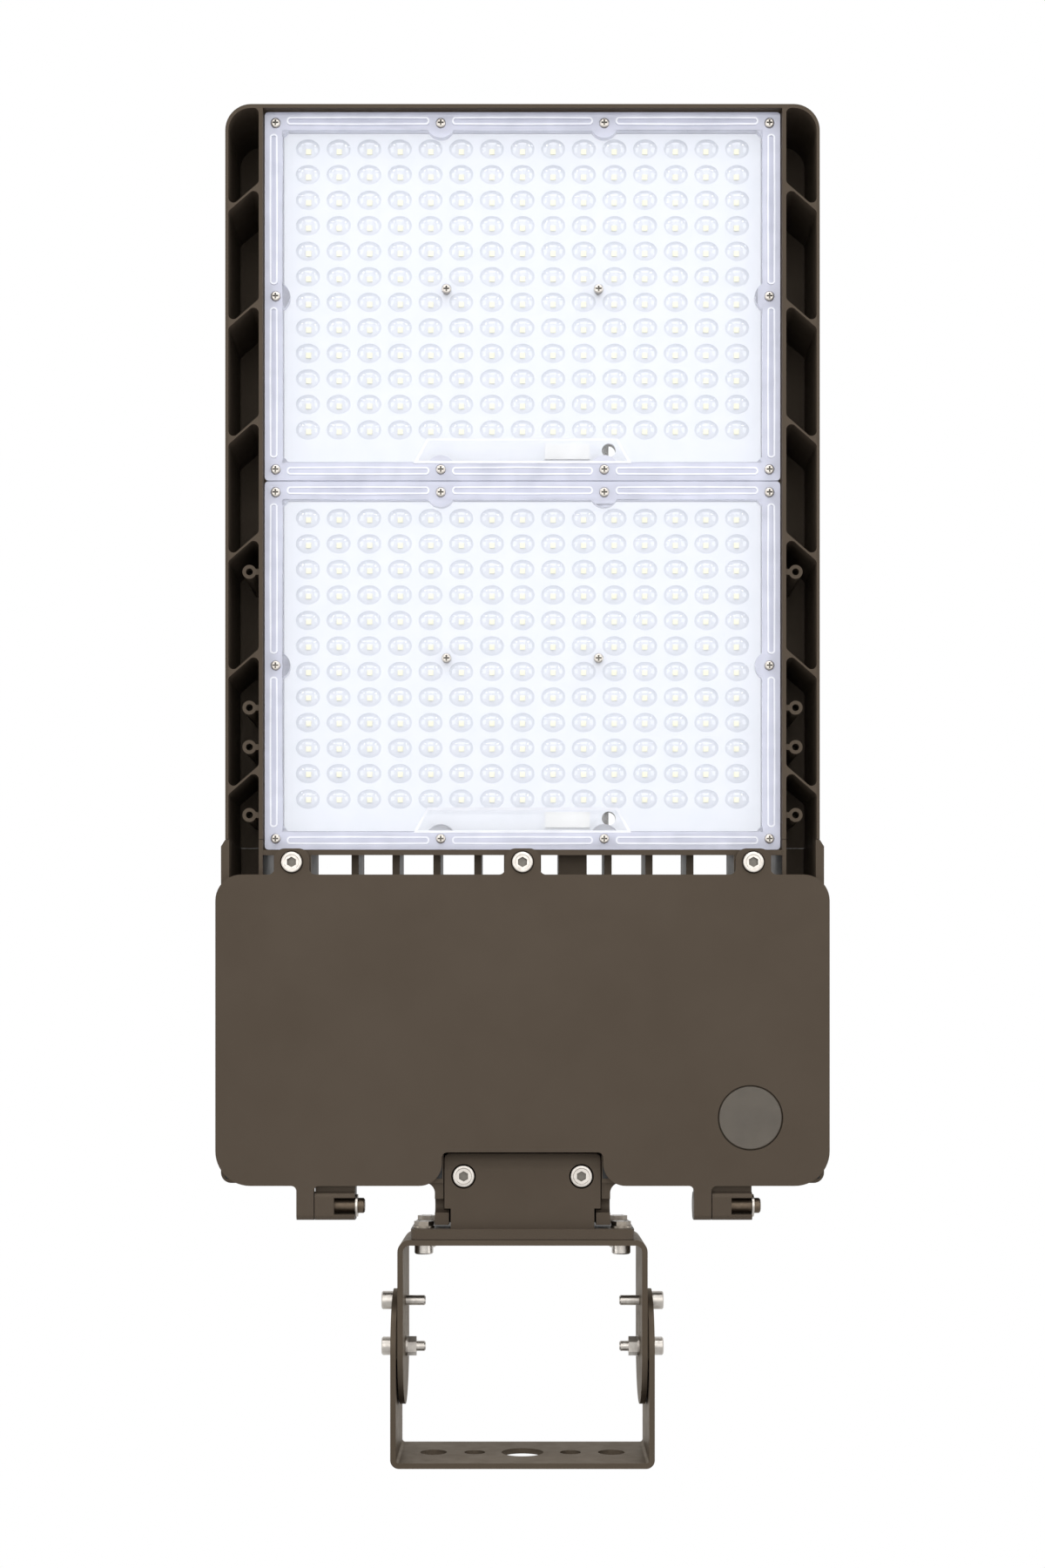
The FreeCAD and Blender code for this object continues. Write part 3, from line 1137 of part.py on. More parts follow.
def cover_screws(low):
    return rim_screws(low) + field_screws(low)


def lens_places(low):
    """Middles of a module's lenses as (x, z)."""
    columns, rows = int(float(s.lens_columns)), int(float(s.lens_rows))
    middle = low + module_height / 2 + s.lens_rise
    return [
        ((i - (columns - 1) / 2) * s.lens_pitch_x, middle + (j - (rows - 1) / 2) * s.lens_pitch_z)
        for j in range(rows) for i in range(columns)
    ]


def rounded_plate(half, low, high, front, back, radius):
    """A plate with round corners, from its front to its back along Y."""
    plate = block((-half, front, low), (half, back, high))
    edges = [e for e in plate.Edges if abs(e.Vertexes[0].Y - e.Vertexes[1].Y) > 1e-6]
    return plate.makeFillet(float(radius), edges)


def frame_ring(inset, width, low, front, back, radius):
    """A closed rectangular ring of a given width, inset from the module's edge."""
    high = low + module_height
    outer = rounded_plate(module_half - inset, low + inset, high - inset, front, back, radius)
    more = inset + width
    inner = block((-module_half + more, front - 1, low + more), (module_half - more, back + 1, high - more))
    return outer.cut(inner)


def lens_form():
    """An oval lens cap that stands off the plane y = 0 and reaches a little behind it."""
    cap, rise, stretch = (float(size) for size in (s.lens_radius, s.lens_height, s.lens_stretch))
    ball = (cap * cap + rise * rise) / (2 * rise)
    middle = ball - rise
    left, right = vector(-stretch / 2, middle), vector(stretch / 2, middle)
    bar = Part.makeCylinder(ball, stretch, left, FreeCAD.Vector(1, 0, 0))
    whole = bar.fuse([Part.makeSphere(ball, left), Part.makeSphere(ball, right)]).removeSplitter()
    reach = ball + stretch
    front = block((-reach, -rise - 1, -ball), (reach, s.cover_sheet / 2, ball))
    return whole.common(front).Solids[0]


def rods(spots, radius, front, back):
    """Round rods along Y at places given as (x, z)."""
    along = FreeCAD.Vector(0, 1, 0)
    return [Part.makeCylinder(float(radius), float(back - front), vector(x, front, z), along)
            for x, z in spots]


def cover_rim_form(low, front, back):
    """The rim behind a cover's sheet, with bevelled inner corners and bulges round the screws."""
    high = low + module_height
    outer = rounded_plate(module_half, low, high, front, back, s.module_corner)
    side, bottom, top = module_half - s.cover_rim, low + s.cover_rim, high - s.cover_rim
    bevel = s.rim_bevel
    corners = [(bevel - side, bottom), (side - bevel, bottom), (side, bottom + bevel), (side, top - bevel),
               (side - bevel, top), (bevel - side, top), (-side, top - bevel), (-side, bottom + bevel)]
    outline = Part.makePolygon([vector(x, front, z) for x, z in corners + corners[:1]])
    hollow = Part.Face(outline).extrude(vector(0, back - front))
    return outer.cut(hollow.cut(rods(rim_screws(low), s.bulge_radius, front, back)))


def slot_form(start, end, radius, front, back):
    """A block with round ends about two places given as (x, z)."""
    start, end = vector(start[0], front, start[1]), vector(end[0], front, end[1])
    tip = (end - start).normalize() * float(radius)
    side = tip.cross(FreeCAD.Vector(0, 1, 0))
    edges = [
        Part.LineSegment(start + side, end + side),
        Part.Arc(end + side, end + tip, end - side),
        Part.LineSegment(end - side, start - side),
        Part.Arc(start - side, start - tip, start + side),
    ]
    outline = Part.Wire([edge.toShape() for edge in edges])
    return Part.Face(outline).extrude(vector(0, back - front))


def channels(low, front, back):
    """Raised loops along a cover's rim, one between each two neighbouring screws."""
    radius = s.channel_width / 2
    inset = s.channel_inset + radius
    side = module_half - s.lens_screw_inset
    bottom, top = low + s.lens_screw_inset, low + module_height - s.lens_screw_inset
    reach = s.channel_end + radius
    across = (-side, -s.lens_screw_span / 2, s.lens_screw_span / 2, side)
    upright = (bottom, low + module_height / 2, top)
    spans = []
    for z in (low + inset, low + module_height - inset):
        spans += [((a + reach, z), (b - reach, z)) for a, b in zip(across, across[1:])]
    for x in both_sides(module_half - inset):
        spans += [((x, a + reach), (x, b - reach)) for a, b in zip(upright, upright[1:])]
    return [
        slot_form(start, end, radius, front, back).cut(
            slot_form(start, end, radius - s.channel_wall, front - 1, back + 1))
        for start, end in spans
    ]


def make_cover(name, low):
    front = -s.cover_front
    back = front + s.cover_sheet
    board_face = -s.plate_front - s.board_thickness
    high = low + module_height
    sheet_solid = rounded_plate(module_half, low, high, front, back, s.module_corner)
    added = [cover_rim_form(low, back, board_face)]
    added += rods(field_screws(low), s.field_boss_radius, back, board_face)
    added += channels(low, front - s.channel_height, front)
    base, top, foot = s.window_base / 2, s.window_top / 2, low + s.cover_rim - 1
    roof = low + s.cover_rim + s.window_height
    corners = ((-base, foot), (base, foot), (top, roof), (-top, roof), (-base, foot))
    outline = Part.makePolygon([vector(x, front - s.window_rise, z) for x, z in corners])
    added.append(Part.Face(outline).extrude(vector(0, s.window_rise + s.cover_sheet / 2)))
    spots = cover_screws(low)
    holes = rods(spots, s.lens_screw_radius + s.lens_screw_play, front, -s.plate_front)
    holes += rods(spots, s.lens_screw_head + s.lens_screw_play, front, front + s.lens_screw_seat)
    form = lens_form()
    caps = []
    for x, z in lens_places(low):
        cap = form.copy()
        cap.translate(vector(x, front, z))
        caps.append(cap)
    solid = sheet_solid.fuse(added).cut(holes).fuse(caps)
    keep(feature_of(name, solid.removeSplitter().Solids[0]))


def make_module(side, low):
    make_cover(f"lens_cover_{side}", low)
    plate = -s.plate_front
    face = plate - s.board_thickness
    hole = s.lens_screw_radius + s.lens_screw_play
    gasket = frame_ring(s.gasket_inset, s.gasket_width, low, face, plate, s.module_corner)
    keep(feature_of(f"lens_gasket_{side}", gasket.cut(rods(rim_screws(low), hole, face, plate))))
    board = new_body(f"led_board_{side}")
    edge = s.cover_rim + s.board_play
    high = low + module_height
    port = (s.port_x, low + s.port_inset, s.port_radius)
    add_prism(board, f"board_{side}_sheet", "XZ", face, plate,
              loops=[rectangle(-module_half + edge, low + edge, module_half - edge, high - edge)],
              circles=[(x, z, hole) for x, z in field_screws(low)] + [port])
    keep(board)
    half = s.chip_size / 2
    chips = [block((x - half, face - s.chip_height, z - half), (x + half, face, z + half))
             for x, z in lens_places(low)]
    keep(feature_of(f"led_chips_{side}", Part.makeCompound(chips)))
    screw = socket_screw(f"cover_screw_{side}_form", s.lens_screw_radius, s.lens_screw_length,
                         s.lens_screw_head, s.lens_screw_head_height, s.lens_screw_socket)
    seat = -s.cover_front + s.lens_screw_seat
    keep(copies(f"lens_screws_{side}", screw,
                [place(x, seat, z, (0, -1, 0)) for x, z in cover_screws(low)]))


def make_connectors():
    face = -s.plate_front - s.board_thickness
    blocks = []
    for low in module_lows.values():
        left = s.connector_x - s.connector_width / 2
        bottom = low + s.connector_inset
        blocks.append(block((left, face - s.connector_depth, bottom),
                            (left + s.connector_width, face, bottom + s.connector_height)))
    keep(feature_of("board_connectors", Part.makeCompound(blocks)))


# ---------------------------------------------------------------------------
# Door: plate with notch and tabs, hinge knuckles, inner lip; pins, rings, screws, plug
# ---------------------------------------------------------------------------
def make_door():
    made = new_body("driver_door")
    front, back = -s.door_front, -door_back
    half = s.door_width / 2
    notch = s.notch_width / 2
    y, z, hinge_half = -s.hinge_axis_y, s.hinge_axis_z, s.hinge_radius
    knuckle_sides = [(left, left + s.knuckle_width) for left in hinge_lefts]
    left_arm, right_arm = [
        [(left, s.door_low), (left, z), (right, z), (right, s.door_low)] for left, right in knuckle_sides]
    outline = [(-half, s.door_low)] + left_arm
    outline += [(-notch, s.door_low), (-notch, s.notch_top), (notch, s.notch_top), (notch, s.door_low)]
    outline += right_arm + [(half, s.door_low), (half, s.door_high)]
    tab_top = s.door_high + s.tab_height
    tab_half = s.tab_width / 2
    for x in reversed(tabs_x):
        outline += [(x + tab_half, s.door_high), (x + tab_half, tab_top),
                    (x - tab_half, tab_top), (x - tab_half, s.door_high)]
    outline.append((-half, s.door_high))
    add_prism(made, "door_plate", "XZ", front, back, loops=[outline])
    round_edges(made, "door_corners", s.door_corner, "y", [(x, s.door_high) for x in both_sides(half)])
    round_edges(made, "door_foot_corners", s.door_foot_corner, "y",
                [(x, s.door_low) for x in both_sides(half)])
    round_edges(made, "knuckle_feet", s.knuckle_foot, "y",
                [(x, s.door_low) for sides in knuckle_sides for x in sides])
    round_edges(made, "notch_flares", s.notch_flare, "y", [(x, s.door_low) for x in both_sides(notch)])
    round_edges(made, "notch_rounds", s.notch_round, "y", [(x, s.notch_top) for x in both_sides(notch)])
    tab_sides = [x + sign * tab_half for x in tabs_x for sign in (-1, 1)]
    round_edges(made, "tab_rounds", s.tab_round, "y", [(x, tab_top) for x in tab_sides])
    round_edges(made, "tab_feet", s.tab_foot, "y", [(x, s.door_high) for x in tab_sides])
    # The inner lip steps into the compartment's mouth and over the niche.
    lip_loops = []
    for inset in (s.rim_width + s.lip_play, s.rim_width + s.lip_play + s.lip_width):
        lip_half = housing_half - inset
        low, high = s.housing_low + inset, s.housing_high - inset
        over_niche = s.niche_top + s.niche_wall + inset - s.rim_width
        beside = ear_outside + inset - s.rim_width
        lip_loops.append([(-lip_half, high), (-lip_half, low), (-beside, low), (-beside, over_niche),
                          (beside, over_niche), (beside, low), (lip_half, low), (lip_half, high)])
    add_prism(made, "door_lip", "XZ", back - 0.5, back + s.lip_height, loops=lip_loops)
    for name, (left, right) in zip(("left", "right"), knuckle_sides):
        add_prism(made, name + "_knuckle", "YZ", left, right, circles=[(y, z, hinge_half)])
        arm_back = front + s.knuckle_arm
        add_prism(made, name + "_knuckle_arm", "YZ", left, right, loops=[[
            (front, z - hinge_half), (y, z - hinge_half), (y, z), (arm_back, z),
            (arm_back, s.door_low + 1), (front, s.door_low + 1)]])
        round_edges(made, name + "_knuckle_round", s.hinge_round, "x", [(front, z - hinge_half)])
    cut_prism(made, "knuckle_bores", "YZ", s.hinge_left_x, s.hinge_right_x + s.knuckle_width,
              circles=[(y, z, s.hinge_pin_radius)])
    cut_prism(made, "tab_holes", "XZ", front, back,
              circles=[(x, s.door_screw_z, s.door_screw_radius + s.screw_play) for x in tabs_x])
    cut_prism(made, "tab_recesses", "XZ", front, front + s.door_recess_depth,
              circles=[(x, s.door_screw_z, s.door_recess_radius) for x in tabs_x])
    cut_prism(made, "sensor_hole", "XZ", front, back,
              circles=[(s.sensor_x, s.sensor_z, s.sensor_neck + s.screw_play)])
    cut_prism(made, "sensor_seat", "XZ", front, front + s.sensor_recess_depth,
              circles=[(s.sensor_x, s.sensor_z, s.sensor_recess)])
    keep(made)


def make_door_fittings():
    pin = new_body("pin_form")
    groove = s.knuckle_width + s.knuckle_gap + s.barrel_width + s.saddle_width + s.ring_gap
    length = groove + s.ring_thickness + s.pin_tail
    turn(pin, "pin_turned", [
        (0, 0), (s.hinge_pin_radius, 0), (s.hinge_pin_radius, groove), (s.ring_seat, groove),
        (s.ring_seat, groove + s.ring_thickness), (s.hinge_pin_radius, groove + s.ring_thickness),
        (s.hinge_pin_radius, length - 0.8), (s.hinge_pin_radius - 0.8, length), (0, length)])
    y, z = -s.hinge_axis_y, s.hinge_axis_z
    keep(copies("hinge_pins", pin, [place(left, y, z, (1, 0, 0)) for left in hinge_lefts]))
    ring = plain_ring("ring_form", s.ring_seat, s.ring_radius, s.ring_thickness)
    keep(copies("hinge_rings", ring, [place(left + groove, y, z, (1, 0, 0)) for left in hinge_lefts]))
    screw = socket_screw("door_screw_form", s.door_screw_radius, s.door_screw_length,
                         s.door_head_radius, s.door_head_height, s.door_socket)
    seat = -s.door_front + s.door_recess_depth
    keep(copies("door_screws", screw, [place(x, seat, s.door_screw_z, (0, -1, 0)) for x in tabs_x]))
    plug = new_body("plug_form")
    rim = s.sensor_recess - s.sensor_play
    rim_low = -s.sensor_recess_depth
    turn(plug, "plug_turned", [
        (0, -s.sensor_neck_length), (s.sensor_neck, -s.sensor_neck_length), (s.sensor_neck, rim_low),
        (rim, rim_low), (rim, -0.5), (rim - 0.5, 0), (0, 0)])
    front = -s.door_front
    keep(copies("sensor_plug", plug, [place(s.sensor_x, front, s.sensor_z, (0, -1, 0))]))
    nut = hex_nut("plug_nut_form", s.sensor_nut, s.sensor_neck + s.thread_play, s.sensor_nut_height)
    seal = plain_ring("plug_seal_form", s.sensor_neck, s.sensor_neck + 2.5, as_size(1.0))
    keep(copies("sensor_plug_seal", seal, [place(s.sensor_x, -door_back, s.sensor_z, (0, 1, 0))]))
    keep(copies("sensor_plug_nut", nut, [place(s.sensor_x, -door_back + 1.0, s.sensor_z, (0, 1, 0))]))


# ---------------------------------------------------------------------------
# Inside the driver compartment
# ---------------------------------------------------------------------------
def make_driver(name, low):
    made = new_body(name)
    left, right = s.driver_left, s.driver_left + s.driver_length
    high = low + s.driver_height
    add_prism(made, name + "_case", "XZ", inner_back - s.driver_depth, inner_back,
              loops=[rectangle(left, low, right, high)])
    add_prism(made, name + "_feet", "XZ", inner_back - s.driver_foot_thickness, inner_back,
              loops=[rectangle(left - s.driver_foot, low, right + s.driver_foot, high)])
    holes = [(x, z, s.small_screw_radius) for x, z in driver_screw_spots(low)]
    cut_prism(made, name + "_foot_holes", "XZ", inner_back - s.driver_foot_thickness, inner_back,
              circles=holes)
    keep(made)


def driver_screw_spots(low):
    sides = (s.driver_left - s.driver_foot / 2, s.driver_left + s.driver_length + s.driver_foot / 2)
    inset = s.driver_foot * 1.2
    return [(x, z) for x in sides for z in (low + inset, low + s.driver_height - inset)]


def make_compartment_parts():
    lows = (s.driver_low, s.driver_low + s.driver_height + s.driver_gap)
    for name, low in zip(("led_driver_lower", "led_driver_upper"), lows):
        make_driver(name, low)
    screw = socket_screw("small_screw_form", s.small_screw_radius, s.driver_foot_thickness,
                         s.small_head_radius, s.small_head_height, s.small_socket)
    face = inner_back - s.driver_foot_thickness
    spots = [spot for low in lows for spot in driver_screw_spots(low)]
    keep(copies("driver_screws", screw, [place(x, face, z, (0, -1, 0)) for x, z in spots]))
    surge = new_body("surge_protector")
    left, low = s.surge_left, s.surge_low
    add_prism(surge, "surge_case", "XZ", inner_back - s.surge_depth, inner_back,
              loops=[rectangle(left, low, left + s.surge_size, low + s.surge_size)])
    round_edges(surge, "surge_corners", 3.0, "y",
                [(x, z) for x in (left, left + s.surge_size) for z in (low, low + s.surge_size)])
    keep(surge)
    terminal = new_body("terminal_block")
    low, high = s.terminal_low, s.terminal_low + s.terminal_height
    right = left + s.terminal_ways * s.terminal_pitch
    face = inner_back - s.terminal_depth
    add_prism(terminal, "terminal_case", "XZ", face, inner_back, loops=[rectangle(left, low, right, high)])
    ways = []
    for way in range(int(float(s.terminal_ways))):
        middle = left + (way + 0.5) * s.terminal_pitch
        for height in (low + s.terminal_height * 0.28, high - s.terminal_height * 0.28):
            ways.append((middle, height, s.terminal_pitch * 0.3))
    cut_prism(terminal, "terminal_wells", "XZ", face, face + s.terminal_depth / 3, circles=ways)
    keep(terminal)
    ground = socket_screw("ground_screw_form", s.small_screw_radius, s.housing_wall / 2,
                          s.small_head_radius, s.small_head_height, s.small_socket)
    washer = plain_ring("ground_washer_form", s.small_screw_radius, s.small_head_radius * 1.4, as_size(1.0))
    keep(copies("ground_washer", washer, [place(s.ground_x, inner_back, s.ground_z, (0, -1, 0))]))
    keep(copies("ground_screw", ground, [place(s.ground_x, inner_back - 1.0, s.ground_z, (0, -1, 0))]))


# ---------------------------------------------------------------------------
# Build, check and write every node
# ---------------------------------------------------------------------------
make_lower_yoke()
make_upper_yoke()
make_yoke_fasteners()
make_adapter()
make_housing()
make_housing_fittings()
make_heat_sink()
for module_side, module_low in module_lows.items():
    make_module(module_side, module_low)
make_connectors()
make_door()
make_door_fittings()
make_compartment_parts()
doc.recompute()

for thing in doc.Objects:
    faults = [state for state in thing.State if state in ("Invalid", "Error")]
    if faults:
        raise RuntimeError(f"{thing.Label} failed: {faults}")
for label, node in nodes.items():
    if node.Shape.isNull() or not node.Shape.isValid():
        raise RuntimeError(f"{label} has no valid shape")

os.makedirs("parts", exist_ok=True)
for label, node in nodes.items():
    node.Shape.exportStep(f"parts/{label}.step")
    box = node.Shape.BoundBox
    print(f"{label:24s} {len(node.Shape.Solids):4d} solids  {node.Shape.Volume / 1000:9.2f} cm3  "
          f"x {box.XMin:7.1f} {box.XMax:7.1f}  y {box.YMin:6.1f} {box.YMax:6.1f}  "
          f"z {box.ZMin:6.1f} {box.ZMax:6.1f}")
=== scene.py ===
# %% [markdown]
# # A shoebox area light, seen square on from its lit side
#
# The real lamp is a flat aluminium casting that carries two LED boards under clear covers.
# Below the boards hangs a driver compartment with a hinged door, and the whole head tilts on
# a steel yoke. The CAD solids give every piece its place, and this lesson gives them their
# surfaces, and remakes the pieces whose look depends on finer shape: the two clear covers and
# the screws that face the camera.

# %% Load the frame
import json
import math

import bpy
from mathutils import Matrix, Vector


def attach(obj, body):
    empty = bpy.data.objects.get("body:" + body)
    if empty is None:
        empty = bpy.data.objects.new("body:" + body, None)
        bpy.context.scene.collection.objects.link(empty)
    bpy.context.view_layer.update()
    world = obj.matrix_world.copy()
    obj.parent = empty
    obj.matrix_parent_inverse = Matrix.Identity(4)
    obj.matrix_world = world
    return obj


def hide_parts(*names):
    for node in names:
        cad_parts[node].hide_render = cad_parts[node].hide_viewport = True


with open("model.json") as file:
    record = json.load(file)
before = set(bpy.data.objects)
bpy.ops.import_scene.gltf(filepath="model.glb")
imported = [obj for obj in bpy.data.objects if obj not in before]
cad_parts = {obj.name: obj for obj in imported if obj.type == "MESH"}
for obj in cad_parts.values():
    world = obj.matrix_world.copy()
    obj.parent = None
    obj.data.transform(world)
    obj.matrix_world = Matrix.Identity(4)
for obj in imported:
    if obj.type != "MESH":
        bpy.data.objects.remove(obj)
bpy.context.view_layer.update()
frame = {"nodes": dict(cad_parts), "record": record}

nodes = frame["nodes"]
scene = bpy.context.scene
scene.view_settings.view_transform = "Standard"
MM = 0.001
TINY = 1e-6

# %% [markdown]
# ## Colours and shader nodes
#
# Colours are written as a designer reads them, in sRGB, and turned linear in one place.
# One small function adds any shader node with its settings and its links.

# %% Colour and node helpers
def linear(code):
    """An sRGB colour such as "#595147" as linear red, green, blue and alpha."""
    parts = [int(code[i:i + 2], 16) / 255 for i in (1, 3, 5)]
    return tuple(p / 12.92 if p <= 0.04045 else ((p + 0.055) / 1.055) ** 2.4 for p in parts) + (1.0,)


def add(tree, kind, sockets=None, **settings):
    """A shader node with settings, whose sockets get constants or links."""
    made = tree.nodes.new("ShaderNode" + kind)
    for name, value in settings.items():
        setattr(made, name, value)
    for name, value in (sockets or {}).items():
        if isinstance(value, bpy.types.NodeSocket):
            tree.links.new(value, made.inputs[name])
        else:
            made.inputs[name].default_value = value
    return made


def new_material(name):
    """An empty material: its tree, and the socket that its surface goes to."""
    made = bpy.data.materials.new(name)
    made.use_nodes = True
    made.node_tree.nodes.clear()
    output = made.node_tree.nodes.new("ShaderNodeOutputMaterial")
    return made, made.node_tree, output


def grain(tree, size_mm, detail=3.0, stretch=(1.0, 1.0, 1.0)):
    """Noise whose grain is size_mm wide, over the object's own coordinates."""
    place = add(tree, "TexCoord").outputs["Object"]
    mapped = add(tree, "Mapping", {"Vector": place, "Scale": stretch}).outputs["Vector"]
    noise = add(tree, "TexNoise", {"Vector": mapped, "Scale": 1 / (size_mm * MM), "Detail": detail})
    return noise.outputs["Fac"]


def between(tree, value, low, high):
    """Noise spread from low to high."""
    made = add(tree, "MapRange", {"Value": value, "From Min": 0.3, "From Max": 0.7,
                                  "To Min": low, "To Max": high})
    return made.outputs["Result"]


def shade(tree, value, dark, light):
    """Noise as a colour between two colours."""
    made = add(tree, "Mix", {"Factor": value}, data_type="RGBA")
    colours = [s for s in made.inputs if s.type == "RGBA"]
    colours[0].default_value = linear(dark)
    colours[1].default_value = linear(light)
    return [s for s in made.outputs if s.type == "RGBA"][0]


print("helpers ready, door bronze is", [round(c, 3) for c in linear("#595147")])

# %% [markdown]
# ## Powder coat
#
# The castings and the yoke are sprayed with dry polyester powder and baked. The film melts
# to a fine orange peel, so light spreads softly, and edges round off a little. The coat on the
# yoke has metal flake in it, which shines warm at a flat angle. A slow
# variation of tone stands for the film's thickness, and a fast bump for its grain.

# %% Powder coat material
def powder_coat(name, dark, light, rough, flake=0.0, grain_mm=0.55, bump_mm=0.012):
    made, tree, output = new_material(name)
    cloud = between(tree, grain(tree, 60.0, 2.0), 0.0, 1.0)
    fine = grain(tree, grain_mm, 2.0)
    bump = add(tree, "Bump", {"Height": fine, "Distance": bump_mm * MM, "Strength": 1.0})
    surface = add(tree, "BsdfPrincipled", {
        "Base Color": shade(tree, cloud, dark, light),
        "Roughness": between(tree, grain(tree, 9.0), rough - 0.04, rough + 0.04),
        "Normal": bump.outputs["Normal"],
        "Metallic": flake,
        "Specular IOR Level": 0.3,
        "Specular Tint": linear("#D6C8B4"),
    })
    tree.links.new(surface.outputs["BSDF"], output.inputs["Surface"])
    return made


bronze = powder_coat("powder_coat_bronze", "#453C33", "#494037", 0.50)
bronze_yoke = powder_coat("powder_coat_bronze_on_steel", "#4A4137", "#4F463C", 0.46, flake=0.5)
print("coats:", bronze.name, bronze_yoke.name)

# %% [markdown]
# ## Stainless steel
#
# The screws are cold-headed stainless steel. Their faces keep faint turning marks, so the
# roughness changes a little from place to place. The punched recesses get a darker, duller copy
# of the steel as painted shade, the nuts a darker copy as painted shade, and the hinge pins are
# passivated to go with the coat.

# %% Stainless steel material
def steel(name, dark, light, rough):
    made, tree, output = new_material(name)
    streak = grain(tree, 0.35, 2.0, (1.0, 1.0, 0.2))
    cloud = between(tree, grain(tree, 3.0), 0.0, 1.0)
    bump = add(tree, "Bump", {"Height": streak, "Distance": 0.006 * MM, "Strength": 1.0})
    surface = add(tree, "BsdfPrincipled", {
        "Base Color": shade(tree, cloud, dark, light),
        "Metallic": 1.0,
        "Roughness": between(tree, streak, rough - 0.06, rough + 0.08),
        "Normal": bump.outputs["Normal"],
    })
    tree.links.new(surface.outputs["BSDF"], output.inputs["Surface"])
    return made


stainless = steel("stainless_steel_headed", "#B3ADA6", "#C6C1BA", 0.34)
# a darker copy of the steel for the flange's nuts and washers: painted shade
nut_shade_steel = steel("stainless_steel_nuts_painted_shade", "#7F776D", "#958D83", 0.36)
# a darker copy of the steel for the punched recesses: painted shade
recess_shade_steel = steel("stainless_steel_recess_painted_shade", "#6B6761", "#77736C", 0.5)
pin_steel = steel("passivated_pin_steel", "#5A4F43", "#675B4E", 0.48)
print("steels:", stainless.name, nut_shade_steel.name, recess_shade_steel.name, pin_steel.name)

# %% [markdown]
# ## Plastics, rubber and boards
#
# The small pieces are moulded: nylon for the gland and the spacers, silicone for the seals.
# A board is aluminium under a white solder mask, which is smooth and a little glossy. Its
# grain is too fine to see, so it is drawn coarser and very shallow.

# %% Moulded and coated materials
def moulded(name, dark, light, rough, grain_mm=0.4, bump_mm=0.008):
    made, tree, output = new_material(name)
    cloud = between(tree, grain(tree, 12.0), 0.0, 1.0)
    fine = grain(tree, grain_mm, 2.0)
    bump = add(tree, "Bump", {"Height": fine, "Distance": bump_mm * MM, "Strength": 1.0})
    surface = add(tree, "BsdfPrincipled", {
        "Base Color": shade(tree, cloud, dark, light),
        "Roughness": between(tree, grain(tree, 4.0), rough - 0.04, rough + 0.04),
        "Normal": bump.outputs["Normal"],
    })
    tree.links.new(surface.outputs["BSDF"], output.inputs["Surface"])
    return made


black_nylon = moulded("moulded_nylon_black", "#1B1B1B", "#232323", 0.5)
seal_rubber = moulded("silicone_rubber_black", "#202020", "#282828", 0.7)
clear_seal = moulded("silicone_rubber_pale", "#C4C7D6", "#CDD0DE", 0.6)
bronze_plastic = moulded("moulded_nylon_bronze", "#4A433A", "#50493F", 0.5)
white_plastic = moulded("moulded_nylon_white", "#DADBDC", "#E4E5E6", 0.4)
solder_mask = moulded("white_solder_mask", "#D6DAE3", "#DADDE6", 0.35, 0.8, 0.002)
phosphor = moulded("yellow_phosphor", "#F1EFD6", "#F5F3E0", 0.5)
driver_case = moulded("anodised_driver_case", "#A9ABAE", "#B4B6B9", 0.4)
print("mouldings and boards:", black_nylon.name, seal_rubber.name, solder_mask.name)

# %% [markdown]
# ## Clear polycarbonate
#
# The covers are injection moulded from clear polycarbonate. Light goes straight through the
# sheet, and a little of it is mirrored, more at a flat angle. Where it runs a long way through
# the plastic, as at the edge of a lens, it greys a little and draws the thin outlines. The rim
# is thick and lightly frosted, so it scatters more. Light that falls on the board passes
# unchanged, and only the outer faces mirror, because a ray isn't bent here.

# %% Polycarbonate materials
def polycarbonate(name, tint, edge_tint, haze, milk_tint="#F4F6FA", blend=0.35, mirror_ior=1.585):
    """Clear plastic: edge_tint shows where the path through it is long, haze scatters light."""
    made, tree, output = new_material(name)
    backs = add(tree, "NewGeometry").outputs["Backfacing"]
    outside = add(tree, "Math", {0: 1.0, 1: backs}, operation="SUBTRACT")
    fresnel = add(tree, "Fresnel", {"IOR": mirror_ior}).outputs["Fac"]
    mirrored = add(tree, "Math", {0: fresnel, 1: outside.outputs[0]}, operation="MULTIPLY").outputs[0]
    ripple = add(tree, "Bump", {"Height": grain(tree, 6.0, 1.0), "Distance": 0.004 * MM})
    mirror = add(tree, "BsdfGlossy", {"Roughness": 0.08, "Normal": ripple.outputs["Normal"]})
    path_length = add(tree, "LayerWeight", {"Blend": blend}).outputs["Facing"]
    clear = add(tree, "BsdfTransparent", {"Color": shade(tree, path_length, tint, edge_tint)})
    cloud = between(tree, grain(tree, 14.0, 1.0), haze * 0.9, haze * 1.1)
    milk = add(tree, "BsdfDiffuse", {"Color": linear(milk_tint)})
    body = add(tree, "MixShader", {0: cloud, 1: clear.outputs[0], 2: milk.outputs[0]})
    seen = add(tree, "MixShader", {0: mirrored, 1: body.outputs[0], 2: mirror.outputs[0]})
    path = add(tree, "LightPath").outputs
    falling = add(tree, "Math", {0: path["Is Shadow Ray"], 1: path["Is Diffuse Ray"]}, operation="MAXIMUM")
    passing = add(tree, "BsdfTransparent", {"Color": linear("#FFFFFF")})
    both = add(tree, "MixShader", {0: falling.outputs[0], 1: seen.outputs[0], 2: passing.outputs[0]})
    tree.links.new(both.outputs[0], output.inputs["Surface"])
    return made


